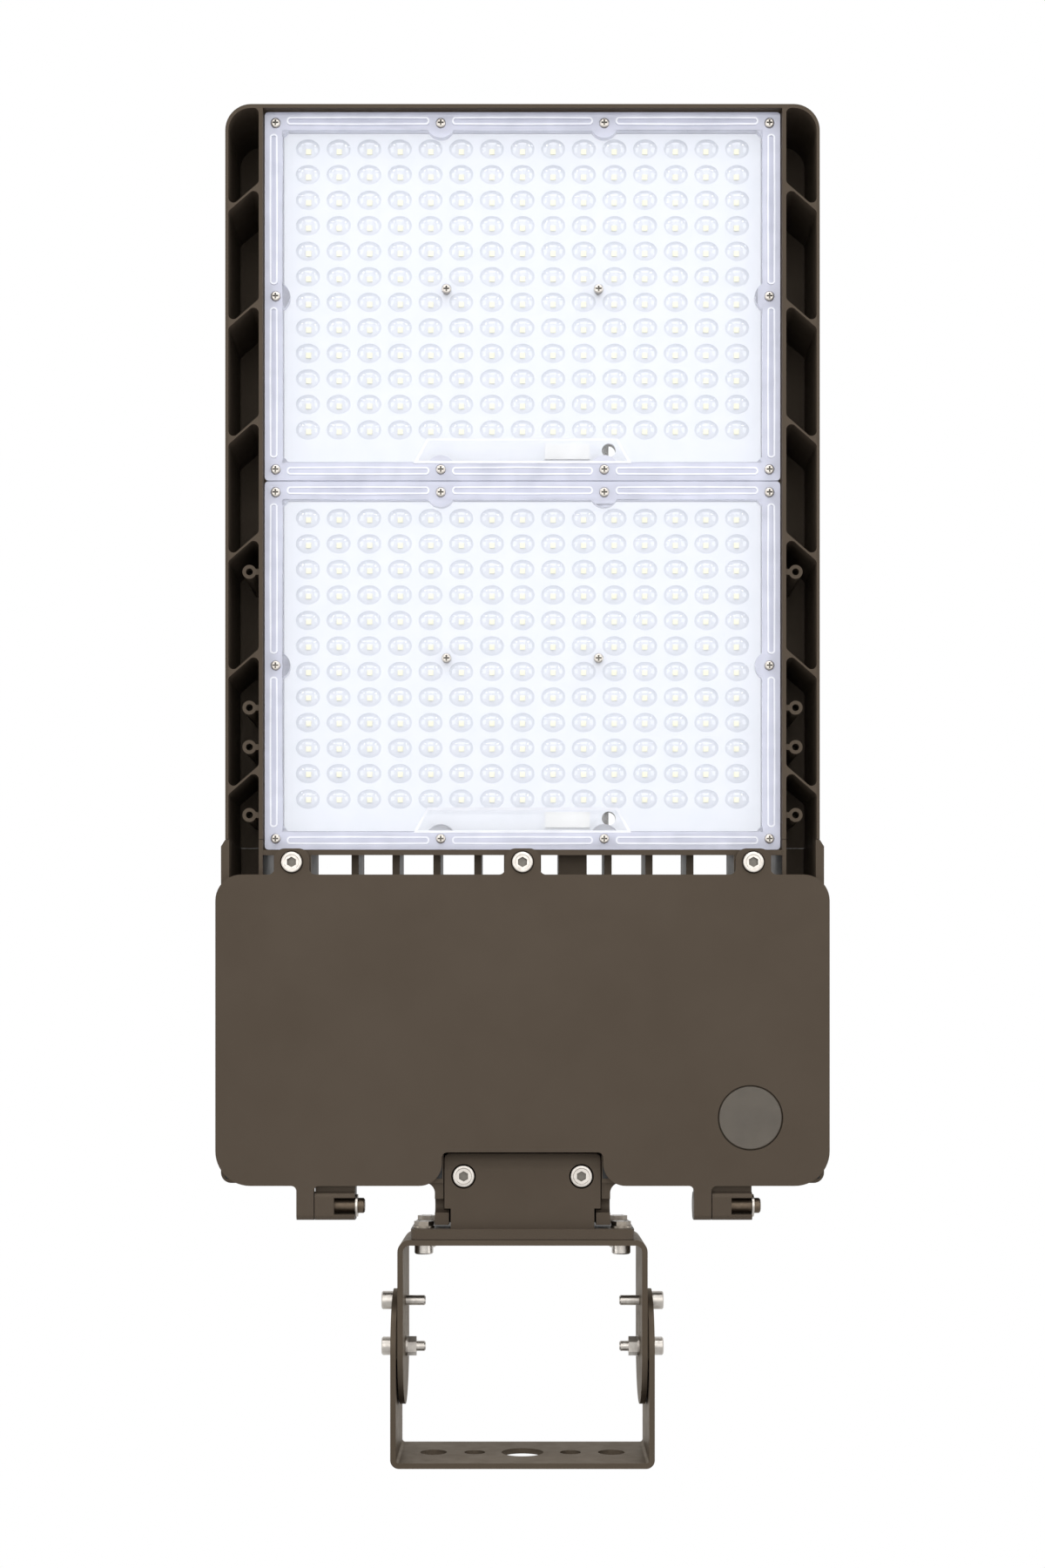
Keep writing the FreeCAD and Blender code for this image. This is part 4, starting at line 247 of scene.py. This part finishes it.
clear_sheet = polycarbonate("clear_polycarbonate_sheet", "#FFFFFF", "#D9DBE4", 0.03)
clear_rim = polycarbonate("clear_polycarbonate_rim", "#F4F5FB", "#9A9DB2", 0.8, "#CDCFDF")
clear_wall = polycarbonate("clear_polycarbonate_channel_wall", "#F8F9FD", "#B4B7CA", 0.75, "#F2F3F9")
clear_lens = polycarbonate("clear_polycarbonate_lens", "#FFFFFF", "#C9CCD4", 0.01, blend=0.3)
clear_cavity = polycarbonate("clear_polycarbonate_cavity", "#FFFFFF", "#E2E4EA", 0.01,
                             blend=0.2, mirror_ior=1.1)
print("clear plastics:", clear_sheet.name, clear_rim.name, clear_lens.name)

# %% [markdown]
# ## Finishes on the CAD pieces
#
# Each piece of the frame takes the finish of its record slot, apart from the flange's nuts and
# washers, which take a darker copy of the steel as painted shade. A fine bevel catches the light
# on edges that casting, bending or machining leaves a little round.

# %% Put finishes on the frame
FINISH = {
    "cast_body": bronze, "cast_sink": bronze, "cast_door": bronze, "yoke_steel": bronze_yoke,
    "stainless": stainless, "pin_steel": pin_steel, "clear_cover": clear_sheet,
    "white_board": solder_mask, "phosphor": phosphor, "seal_rubber": seal_rubber,
    "clear_seal": clear_seal, "black_nylon": black_nylon, "bronze_plastic": bronze_plastic,
    "driver_case": driver_case, "white_plastic": white_plastic,
}
# the flange's nuts and washers get the darker steel: painted shade
OWN_FINISH = {"flange_nuts": nut_shade_steel, "flange_washers": nut_shade_steel}
BEVEL_MM = {
    "cast_body": 0.6, "cast_sink": 0.4, "cast_door": 0.8, "yoke_steel": 0.4, "stainless": 0.15,
    "bronze_plastic": 0.3, "driver_case": 0.5, "white_plastic": 0.3,
}
for entry in frame["record"]["subparts"]:
    piece = nodes[entry["node"]]
    for material_slot in piece.material_slots:
        material_slot.material = OWN_FINISH.get(entry["node"], FINISH[entry["material_slot"]])
    width = BEVEL_MM.get(entry["material_slot"])
    if width:
        bevel = piece.modifiers.new("edge", "BEVEL")
        bevel.width = width * MM
        bevel.segments = 2
        bevel.limit_method = "ANGLE"
        bevel.angle_limit = math.radians(40)
        bevel.use_clamp_overlap = True
        bevel.harden_normals = False

# %% [markdown]
# ## Clear covers, remade
#
# The CAD cover is one solid. Here the same cover gets the parts that plastic shows: a rim
# that bulges round its screws, raised channels between the screws, a clear sheet, and one oval
# lens over each chip with a hollow behind it. A lens is modelled once and repeated in rows.

# %% Modelling helpers
def select_nothing():
    bpy.ops.object.select_all(action="DESELECT")


def only(piece):
    """Select one piece and make it active."""
    select_nothing()
    piece.select_set(True)
    bpy.context.view_layer.objects.active = piece


def settle(name, materials):
    """Put a new piece's place and size in its mesh, name it and give it its materials."""
    piece = bpy.context.object
    bpy.ops.object.transform_apply(location=True, rotation=True, scale=True)
    piece.name = name
    piece.data.name = name
    piece.data.materials.clear()
    for material in materials:
        piece.data.materials.append(material)
    return piece


def block(name, low, high, materials):
    """A block between two corners."""
    middle = [(a + b) / 2 for a, b in zip(low, high)]
    size = [b - a for a, b in zip(low, high)]
    select_nothing()
    bpy.ops.mesh.primitive_cube_add(size=1.0, location=middle, scale=size)
    return settle(name, materials)


def rod(name, x, z, front, back, radius, materials, sides=40):
    """A rod along Y, round or with few sides."""
    select_nothing()
    bpy.ops.mesh.primitive_cylinder_add(
        vertices=sides, radius=radius, depth=back - front,
        location=(x, (front + back) / 2, z), rotation=(math.radians(90), 0, 0))
    return settle(name, materials)


def carve(piece, tool, operation):
    """Join a tool to a piece, or take it away; its faces keep the tool's finish."""
    only(piece)
    boolean = piece.modifiers.new("carve", "BOOLEAN")
    boolean.operation = operation
    boolean.solver = "EXACT"
    boolean.material_mode = "TRANSFER"
    boolean.object = tool
    bpy.ops.object.modifier_apply(modifier=boolean.name)
    bpy.data.objects.remove(tool)


def pick(piece, test, kind="FACE"):
    """Open a piece for editing with the faces, edges or points that pass the test."""
    only(piece)
    bpy.ops.object.mode_set(mode="EDIT")
    bpy.ops.mesh.select_mode(type=kind)
    bpy.ops.mesh.select_all(action="DESELECT")
    bpy.ops.object.mode_set(mode="OBJECT")
    mesh = piece.data
    for part in {"FACE": mesh.polygons, "EDGE": mesh.edges, "VERT": mesh.vertices}[kind]:
        part.select = test(part)
    bpy.ops.object.mode_set(mode="EDIT")


def faces_front(face):
    return face.normal.y < -0.99


def finish_mesh(piece, angle=35.0):
    """Turn all faces outwards and smooth the shallow edges."""
    only(piece)
    bpy.ops.object.mode_set(mode="EDIT")
    bpy.ops.mesh.select_all(action="SELECT")
    bpy.ops.mesh.normals_make_consistent(inside=False)
    bpy.ops.object.mode_set(mode="OBJECT")
    bpy.ops.object.shade_smooth_by_angle(angle=math.radians(angle))


def join(name, pieces):
    """Make several pieces one."""
    only(pieces[0])
    for piece in pieces:
        piece.select_set(True)
    bpy.ops.object.join()
    joined = bpy.context.object
    joined.name = name
    joined.data.name = name
    return joined


def box_of(node):
    """The lowest and highest corner of a CAD piece."""
    corners = [node.matrix_world @ Vector(corner) for corner in node.bound_box]
    return (Vector([min(c[i] for c in corners) for i in range(3)]),
            Vector([max(c[i] for c in corners) for i in range(3)]))


cover_low, cover_high = box_of(nodes["lens_cover_upper"])
print("cover from", tuple(round(v, 4) for v in cover_low), "to", tuple(round(v, 4) for v in cover_high))

# %% [markdown]
# The rim is a block with its window cut out. The cutter has the window's bevelled corners, and
# a round piece is taken off it at each screw, so that the rim keeps a bulge there.

# %% Rim with bulges round its screws
RIM = 10.6 * MM
RIM_BEVEL = 2.5 * MM
SCREW_INSET = 6.3 * MM
SCREW_SPAN = 94.5 * MM
FIELD_SCREW_SPAN = 88.0 * MM
FIELD_SCREW_RISE = 4.2 * MM
BULGE = 8.4 * MM
CORNER = 2.0 * MM
FACE_Y = -25.6 * MM
SHEET = 2.0 * MM
BOARD_Y = -21.6 * MM
SEAT = 3.05 * MM
SEAT_DEPTH = 0.8 * MM
OVERCUT = 2.0 * MM


def screw_spots(low, high):
    """Places of the ten screws round a cover's rim, as (x, z)."""
    side = high.x - SCREW_INSET
    middle = (low.z + high.z) / 2
    spots = [(x, z) for x in (-side, -SCREW_SPAN / 2, SCREW_SPAN / 2, side)
             for z in (low.z + SCREW_INSET, high.z - SCREW_INSET)]
    return spots + [(-side, middle), (side, middle)]


def field_screw_spots(low, high):
    height = (low.z + high.z) / 2 + FIELD_SCREW_RISE
    return [(-FIELD_SCREW_SPAN / 2, height), (FIELD_SCREW_SPAN / 2, height)]


def round_corners(piece, radius, steps):
    """Round (or, with one step, bevel) the four edges that run front to back."""
    def runs_back(edge):
        start, end = (piece.data.vertices[i].co for i in edge.vertices)
        return abs(start.x - end.x) < TINY and abs(start.z - end.z) < TINY
    pick(piece, runs_back, "EDGE")
    bpy.ops.mesh.bevel(offset=radius, segments=steps)
    bpy.ops.object.mode_set(mode="OBJECT")


def sink_seats(piece, spots, material):
    """Sink a round seat for a screw's head at each place."""
    for x, z in spots:
        seat = rod("seat", x, z, FACE_Y - OVERCUT, FACE_Y + SEAT_DEPTH, SEAT, [material], 24)
        carve(piece, seat, "DIFFERENCE")


def make_rim(low, high):
    """The rim's full depth, with a bevelled window that leaves bulges round the screws."""
    spots = screw_spots(low, high)
    rim = block("rim", (low.x, FACE_Y, low.z), (high.x, BOARD_Y, high.z), [clear_rim])
    round_corners(rim, CORNER, 4)
    hollow = block("hollow", (low.x + RIM, FACE_Y - OVERCUT, low.z + RIM),
                   (high.x - RIM, BOARD_Y + OVERCUT, high.z - RIM), [clear_rim])
    round_corners(hollow, RIM_BEVEL, 1)
    for x, z in spots:
        bulge = rod("bulge", x, z, FACE_Y - 2 * OVERCUT, BOARD_Y + 2 * OVERCUT, BULGE, [clear_rim])
        carve(hollow, bulge, "DIFFERENCE")
    carve(rim, hollow, "DIFFERENCE")
    sink_seats(rim, spots, clear_rim)
    return rim


print("rim", round(RIM / MM, 1), "mm wide,", len(screw_spots(cover_low, cover_high)), "bulges")

# %% [markdown]
# The channels are thin raised loops on the rim. Each starts as a flat disc that is pulled apart
# into a long shape with round ends. An inset leaves its wall, which is pushed up.

# %% Raised channels between the screws
CHANNEL_INSET = 2.9 * MM
CHANNEL_WIDTH = 4.9 * MM
CHANNEL_WALL = 1.0 * MM
CHANNEL_RISE = 1.0 * MM
CHANNEL_END = 6.5 * MM


def channel(start, end):
    """A raised loop with round ends about two places (x, z), standing on the rim."""
    radius = CHANNEL_WIDTH / 2
    middle_x, middle_z = (start[0] + end[0]) / 2, (start[1] + end[1]) / 2
    upright = abs(end[1] - start[1]) > abs(end[0] - start[0])
    half = (abs(end[1] - start[1]) if upright else abs(end[0] - start[0])) / 2
    select_nothing()
    bpy.ops.mesh.primitive_circle_add(vertices=16, radius=radius, fill_type="NGON",
                                      location=(middle_x, FACE_Y, middle_z),
                                      rotation=(math.radians(90), 0, 0))
    loop = settle("channel", [clear_rim, clear_wall])
    axis = 2 if upright else 0
    middle = middle_z if upright else middle_x
    for sign in (-1, 1):
        shift = [0.0, 0.0, 0.0]
        shift[axis] = sign * half
        pick(loop, lambda point: sign * (point.co[axis] - middle) > TINY, "VERT")
        bpy.ops.transform.translate(value=shift)
        bpy.ops.object.mode_set(mode="OBJECT")
    pick(loop, lambda face: True)
    bpy.ops.mesh.inset(thickness=CHANNEL_WALL, depth=0.0)
    bpy.ops.mesh.select_all(action="INVERT")
    bpy.ops.mesh.extrude_region_move(TRANSFORM_OT_translate={"value": (0, -CHANNEL_RISE, 0)})
    bpy.context.object.active_material_index = 1
    bpy.ops.object.material_slot_assign()
    bpy.ops.object.mode_set(mode="OBJECT")
    return loop


def make_channels(low, high):
    radius = CHANNEL_WIDTH / 2
    inset, reach = CHANNEL_INSET + radius, CHANNEL_END + radius
    side = high.x - SCREW_INSET
    across = (-side, -SCREW_SPAN / 2, SCREW_SPAN / 2, side)
    upright = (low.z + SCREW_INSET, (low.z + high.z) / 2, high.z - SCREW_INSET)
    loops = []
    for z in (low.z + inset, high.z - inset):
        loops += [channel((a + reach, z), (b - reach, z)) for a, b in zip(across, across[1:])]
    for x in (low.x + inset, high.x - inset):
        loops += [channel((x, a + reach), (x, b - reach)) for a, b in zip(upright, upright[1:])]
    return join("channels", loops)


print("channel", round(CHANNEL_WIDTH / MM, 1), "mm wide, standing", round(CHANNEL_RISE / MM, 1), "mm up")

# %% [markdown]
# A lens is an oval disc that is pulled out ring by ring to a dome. The hollow behind it is a
# smaller dome. Array modifiers repeat both over the rows of chips.

# %% Lenses in rows
COLUMNS, ROWS = 15, 12
PITCH_X, PITCH_Z = 17.72 * MM, 14.75 * MM
LENS_HALF_X, LENS_HALF_Z, LENS_RISE = 7.6 * MM, 6.1 * MM, 4.2 * MM
CAVITY_HALF_X, CAVITY_HALF_Z, CAVITY_RISE, CAVITY_GAP = 2.4 * MM, 3.0 * MM, 3.7 * MM, 0.8 * MM
DOME_STEPS = ((0.0, 1.0), (0.3, 0.88), (0.58, 0.68), (0.82, 0.44), (0.95, 0.22))


def dome(name, x, z, half_x, half_z, foot_y, rise, material, sides=20):
    """An oval dome that swells towards -Y from its foot, ring by ring."""
    select_nothing()
    bpy.ops.mesh.primitive_circle_add(vertices=sides, radius=1.0, fill_type="NGON",
                                      location=(0, 0, 0), rotation=(math.radians(90), 0, 0))
    bpy.context.object.scale = (half_x, half_z, 1.0)
    bpy.context.object.location = (x, foot_y, z)
    piece = settle(name, [material])
    pick(piece, lambda face: True)
    for (height, share), (next_height, next_share) in zip(DOME_STEPS, DOME_STEPS[1:]):
        step = (next_height - height) * rise
        ratio = next_share / share
        bpy.ops.mesh.extrude_region_move(TRANSFORM_OT_translate={"value": (0, -step, 0)})
        bpy.ops.transform.resize(value=(ratio, 1.0, ratio))
    last_step = (1.0 - DOME_STEPS[-1][0]) * rise
    bpy.ops.mesh.extrude_region_move(TRANSFORM_OT_translate={"value": (0, -last_step, 0)})
    bpy.ops.mesh.merge(type="CENTER")
    bpy.ops.object.mode_set(mode="OBJECT")
    return piece


def in_rows(piece):
    """Repeat a piece over the board's rows of chips."""
    only(piece)
    for name, count, offset in (("row", COLUMNS, (PITCH_X, 0, 0)), ("rows", ROWS, (0, 0, PITCH_Z))):
        array = piece.modifiers.new(name, "ARRAY")
        array.count = count
        array.use_relative_offset = False
        array.use_constant_offset = True
        array.constant_offset_displace = offset
        bpy.ops.object.modifier_apply(modifier=name)
    finish_mesh(piece, 60.0)
    return piece


def make_lenses(chips):
    """All lenses of a cover and all hollows, centred over its chips."""
    first_x = (chips[0].x + chips[1].x) / 2 - (COLUMNS - 1) / 2 * PITCH_X
    first_z = (chips[0].z + chips[1].z) / 2 - (ROWS - 1) / 2 * PITCH_Z
    outer = dome("lenses", first_x, first_z, LENS_HALF_X, LENS_HALF_Z,
                 FACE_Y + SHEET / 2, LENS_RISE + SHEET / 2, clear_lens)
    hollow = dome("hollows", first_x, first_z, CAVITY_HALF_X, CAVITY_HALF_Z,
                  BOARD_Y - CAVITY_GAP, CAVITY_RISE, clear_cavity, 14)
    return in_rows(outer), in_rows(hollow)


print("lenses in each cover:", COLUMNS * ROWS)

# %% [markdown]
# The sheet is one with its lenses: they are joined to a thin block, and the hollows are taken
# out of it. A low raised window with slanted ends covers the board's connectors.

# %% Sheet with the raised window
WINDOW_BASE, WINDOW_TOP, WINDOW_HEIGHT, WINDOW_RISE = 126.0 * MM, 110.0 * MM, 13.6 * MM, 1.2 * MM
WINDOW_WALL, WINDOW_SINK, WINDOW_LAP = 1.4 * MM, 0.5 * MM, 1.0 * MM
SHEET_LAP = 0.4 * MM


def make_window(foot):
    """The raised window: a block with slanted ends and a low wall round its sunk face."""
    window = block("window", (-WINDOW_BASE / 2, FACE_Y - WINDOW_RISE, foot),
                   (WINDOW_BASE / 2, FACE_Y, foot + WINDOW_HEIGHT + WINDOW_LAP), [clear_sheet, clear_wall])
    pick(window, lambda face: face.normal.z > 0.9)
    bpy.ops.transform.resize(value=(WINDOW_TOP / WINDOW_BASE, 1.0, 1.0))
    bpy.ops.object.mode_set(mode="OBJECT")
    pick(window, faces_front)
    bpy.ops.mesh.inset(thickness=WINDOW_WALL, depth=0.0)
    bpy.ops.transform.translate(value=(0, WINDOW_SINK, 0))
    bpy.ops.object.mode_set(mode="OBJECT")
    pick(window, lambda face: abs(face.normal.y) < 0.97)
    bpy.context.object.active_material_index = 1
    bpy.ops.object.material_slot_assign()
    bpy.ops.object.mode_set(mode="OBJECT")
    return window


def make_sheet(low, high, lenses, hollows):
    """The clear sheet inside the rim, one with its lenses, with its window over the connectors."""
    lap = RIM - SHEET_LAP
    sheet = block("sheet", (low.x + lap, FACE_Y, low.z + lap),
                  (high.x - lap, FACE_Y + SHEET, high.z - lap), [clear_sheet])
    sink_seats(sheet, field_screw_spots(low, high), clear_sheet)
    carve(sheet, lenses, "UNION")
    carve(sheet, hollows, "DIFFERENCE")
    return join("sheet", [sheet, make_window(low.z + RIM - WINDOW_LAP)])


print("sheet", round(SHEET / MM, 1), "mm thick, window", round(WINDOW_BASE / MM), "mm long")

# %% Put each cover together
for side in ("upper", "lower"):
    low, high = box_of(nodes[f"lens_cover_{side}"])
    chips = box_of(nodes[f"led_chips_{side}"])
    rim = make_rim(low, high)
    finish_mesh(rim)
    channel_loops = make_channels(low, high)
    finish_mesh(channel_loops)
    sheet = make_sheet(low, high, *make_lenses(chips))
    finish_mesh(sheet, 60.0)
    cover = join(f"clear_cover_{side}", [rim, channel_loops, sheet])
    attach(cover, "head")
    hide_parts(f"lens_cover_{side}")
    print(cover.name, len(cover.data.polygons), "faces,", len(cover.data.materials), "materials")

# %% [markdown]
# ## Screws that face the camera, remade
#
# The covers have pan-head screws with a cross recess. The door and the adapter have socket
# heads with a sunk ring round a hexagon. One screw of each kind is modelled from a round rod:
# its front edge is rounded over, and the recess is punched in, its faces in a darker steel as
# painted shade. The rest are copies.

# %% Screw from a rod
RING_SINK, SHANK_LAP = 0.35 * MM, 0.1 * MM


def screw_from_rod(x, z, front, seat, end, head_radius, shank_radius, edge_round, ring=0.0):
    """A screw's rounded head, sunk by a ring's width where ring is given, and its shank."""
    head = rod("head", x, z, front, seat, head_radius, [stainless, recess_shade_steel], 36)
    pick(head, faces_front)
    bpy.ops.mesh.bevel(offset=edge_round, segments=5)
    bpy.ops.object.mode_set(mode="OBJECT")
    if ring:
        pick(head, faces_front)
        bpy.ops.mesh.inset(thickness=ring, depth=0.0)
        bpy.ops.mesh.inset(thickness=RING_SINK, depth=-RING_SINK)
        bpy.ops.object.mode_set(mode="OBJECT")
    shank = rod("shank", x, z, seat - SHANK_LAP, end, shank_radius, [stainless, recess_shade_steel], 24)
    return head, shank


print("ring sunk by", round(RING_SINK / MM, 2), "mm")

# %% Screws with a cross or a hexagon
CROSS_LONG, CROSS_WIDE, CROSS_DEEP = 3.3 * MM, 0.95 * MM, 1.3 * MM
HEXAGON, HEXAGON_DEEP = 3.0 * MM, 2.4 * MM
PAN_RADIUS, PAN_SHANK, PAN_ROUND = 2.75 * MM, 1.7 * MM, 1.1 * MM
SOCKET_ROUND, SOCKET_RING = 0.7 * MM, 0.9 * MM


def cross_screw(x, z, front, seat, end):
    """A pan-head screw of a cover."""
    head, shank = screw_from_rod(x, z, front, seat, end, PAN_RADIUS, PAN_SHANK, PAN_ROUND)
    for half_x, half_z in ((CROSS_LONG / 2, CROSS_WIDE / 2), (CROSS_WIDE / 2, CROSS_LONG / 2)):
        # the cross's cut faces take the darker recess steel: painted shade
        carve(head, block("arm", (x - half_x, front - MM, z - half_z),
                          (x + half_x, front + CROSS_DEEP, z + half_z), [recess_shade_steel]), "DIFFERENCE")
    return join("screw", [head, shank])


def hexagon_screw(x, z, front, seat, end, head_radius, shank_radius):
    """A socket-head screw of the door or the adapter."""
    head, shank = screw_from_rod(x, z, front, seat, end, head_radius, shank_radius,
                                 SOCKET_ROUND, SOCKET_RING)
    # the hexagon's cut faces take the darker recess steel: painted shade
    hexagon = rod("hexagon", x, z, front - MM, front + HEXAGON_DEEP, HEXAGON, [recess_shade_steel], 6)
    carve(head, hexagon, "DIFFERENCE")
    return join("screw", [head, shank])


def set_of_copies(name, first, spots, body, node):
    """Copies of the first screw at the other places, joined as one piece for a CAD node."""
    screws = [first]
    for x, z in spots[1:]:
        only(first)
        bpy.ops.object.duplicate()
        bpy.ops.transform.translate(value=(x - spots[0][0], 0, z - spots[0][1]))
        bpy.ops.object.transform_apply(location=True, rotation=False, scale=False)
        screws.append(bpy.context.object)
    screws = join(name, screws)
    finish_mesh(screws)
    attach(screws, body)
    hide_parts(node)
    print(screws.name, len(spots), "screws,", len(screws.data.polygons), "faces")


print("cross", round(CROSS_LONG / MM, 1), "mm, hexagon", round(2 * HEXAGON / MM, 1), "mm across corners")

# %% Screws of the covers
PAN_RISE = 1.9 * MM
for side in ("upper", "lower"):
    low, high = box_of(nodes[f"lens_cover_{side}"])
    spots = screw_spots(low, high) + field_screw_spots(low, high)
    seat = FACE_Y + SEAT_DEPTH
    tip = box_of(nodes[f"lens_screws_{side}"])[1].y
    set_of_copies(f"cover_screws_{side}", cross_screw(*spots[0], seat - PAN_RISE, seat, tip),
                  spots, "head", f"lens_screws_{side}")

# %% Screws of the door and the adapter
for node, body, name, length, shank_radius, columns in (
        ("door_screws", "door", "door_socket_screws", 14.0 * MM, 3.0 * MM, (-1, 0, 1)),
        ("adapter_bolts", "head", "adapter_socket_bolts", 24.0 * MM, 4.0 * MM, (-1, 1))):
    low, high = box_of(nodes[node])
    head_radius = (high.z - low.z) / 2
    reach = high.x - head_radius
    spots = [(column * reach, (low.z + high.z) / 2) for column in columns]
    first = hexagon_screw(*spots[0], low.y, high.y - length, high.y, head_radius, shank_radius)
    set_of_copies(name, first, spots, body, node)

# %% [markdown]
# ## Light, floor and camera
#
# The photograph is a cut-out on pure white. A pale world lights the lamp from all round, a
# large soft box behind the camera lights it from the front, one from above brightens what
# faces up, and two tall ones at the sides draw its edges. Two small lamps high up put a glint
# on each lens and screw. A white floor lies well below. The camera stands 1.2 m away, level
# with the door, and its frame is shifted up to hold the lamp.

# %% World and floor
def white_to_camera(tree):
    """One for rays from the camera, a mirror or a lens, and nought for light that falls."""
    path = add(tree, "LightPath").outputs
    seen = add(tree, "Math", {0: path["Is Camera Ray"], 1: path["Is Glossy Ray"]}, operation="MAXIMUM")
    seen = add(tree, "Math", {0: seen.outputs[0], 1: path["Is Transmission Ray"]}, operation="MAXIMUM")
    return seen.outputs[0]


world = bpy.data.worlds.new("studio")
scene.world = world
world.use_nodes = True
tree = world.node_tree
tree.nodes.clear()
plain = add(tree, "Background", {"Color": linear("#F7F8FA"), "Strength": 0.42})
white = add(tree, "Background", {"Color": linear("#FFFFFF"), "Strength": 1.0})
mixed = add(tree, "MixShader", {0: white_to_camera(tree), 1: plain.outputs[0], 2: white.outputs[0]})
out = tree.nodes.new("ShaderNodeOutputWorld")
tree.links.new(mixed.outputs[0], out.inputs["Surface"])

bpy.ops.mesh.primitive_plane_add(size=12.0, location=(0, 0, -0.6))
floor = bpy.context.object
floor.name = "studio_floor"
made, tree, output = new_material("matt_white_floor")
matt = add(tree, "BsdfDiffuse", {"Color": linear("#F2F2F2")})
glow = add(tree, "Emission", {"Color": linear("#FFFFFF"), "Strength": 1.0})
mixed = add(tree, "MixShader", {0: white_to_camera(tree), 1: matt.outputs[0], 2: glow.outputs[0]})
tree.links.new(mixed.outputs[0], output.inputs["Surface"])
floor.data.materials.append(made)
print("world and floor:", world.name, floor.name)


# %% Lamps
def soft_box(name, place, target, width, height, watts):
    """A rectangular area lamp at place that shines at target."""
    data = bpy.data.lights.new(name, "AREA")
    data.shape = "RECTANGLE"
    data.size, data.size_y = width, height
    data.energy = watts
    lamp = bpy.data.objects.new(name, data)
    scene.collection.objects.link(lamp)
    lamp.location = place
    lamp.rotation_euler = (Vector(target) - Vector(place)).to_track_quat("-Z", "Y").to_euler()
    return lamp


middle = (0.0, 0.0, 0.45)
soft_box("front_box", (0.0, -2.6, 1.1), middle, 2.6, 2.2, 27.0)
soft_box("top_box", (0.0, -0.9, 2.6), middle, 2.0, 1.4, 26.0)
for side in (-1, 1):
    soft_box(f"side_box_{side}", (side * 2.2, -0.8, 0.7), middle, 1.0, 2.0, 16.0)
    soft_box(f"glint_{side}", (side * 1.25, -0.45, 2.0), middle, 0.3, 0.3, 4.5)

# %% Camera
PIXEL = 0.5 * MM
IMAGE_HEIGHT_PX = 1800
ORIGIN_PX = 1686.5
DISTANCE = 1.2
FRONT_Y = -34.0 * MM
EYE_Z = 240.0 * MM
IMAGE_MIDDLE_Z = (ORIGIN_PX - IMAGE_HEIGHT_PX / 2) * PIXEL
camera_data = bpy.data.cameras.new("camera")
camera = bpy.data.objects.new("camera", camera_data)
scene.collection.objects.link(camera)
camera.location = (0.0, FRONT_Y - DISTANCE, EYE_Z)
camera.rotation_euler = (math.radians(90), 0, 0)
camera_data.sensor_fit = "VERTICAL"
camera_data.sensor_height = 36.0
frame_height = IMAGE_HEIGHT_PX * PIXEL
camera_data.lens = camera_data.sensor_height * DISTANCE / frame_height
camera_data.shift_y = (IMAGE_MIDDLE_Z - EYE_Z) / frame_height
scene.camera = camera
print("lens", round(camera_data.lens, 2), "mm, shift", round(camera_data.shift_y, 4))
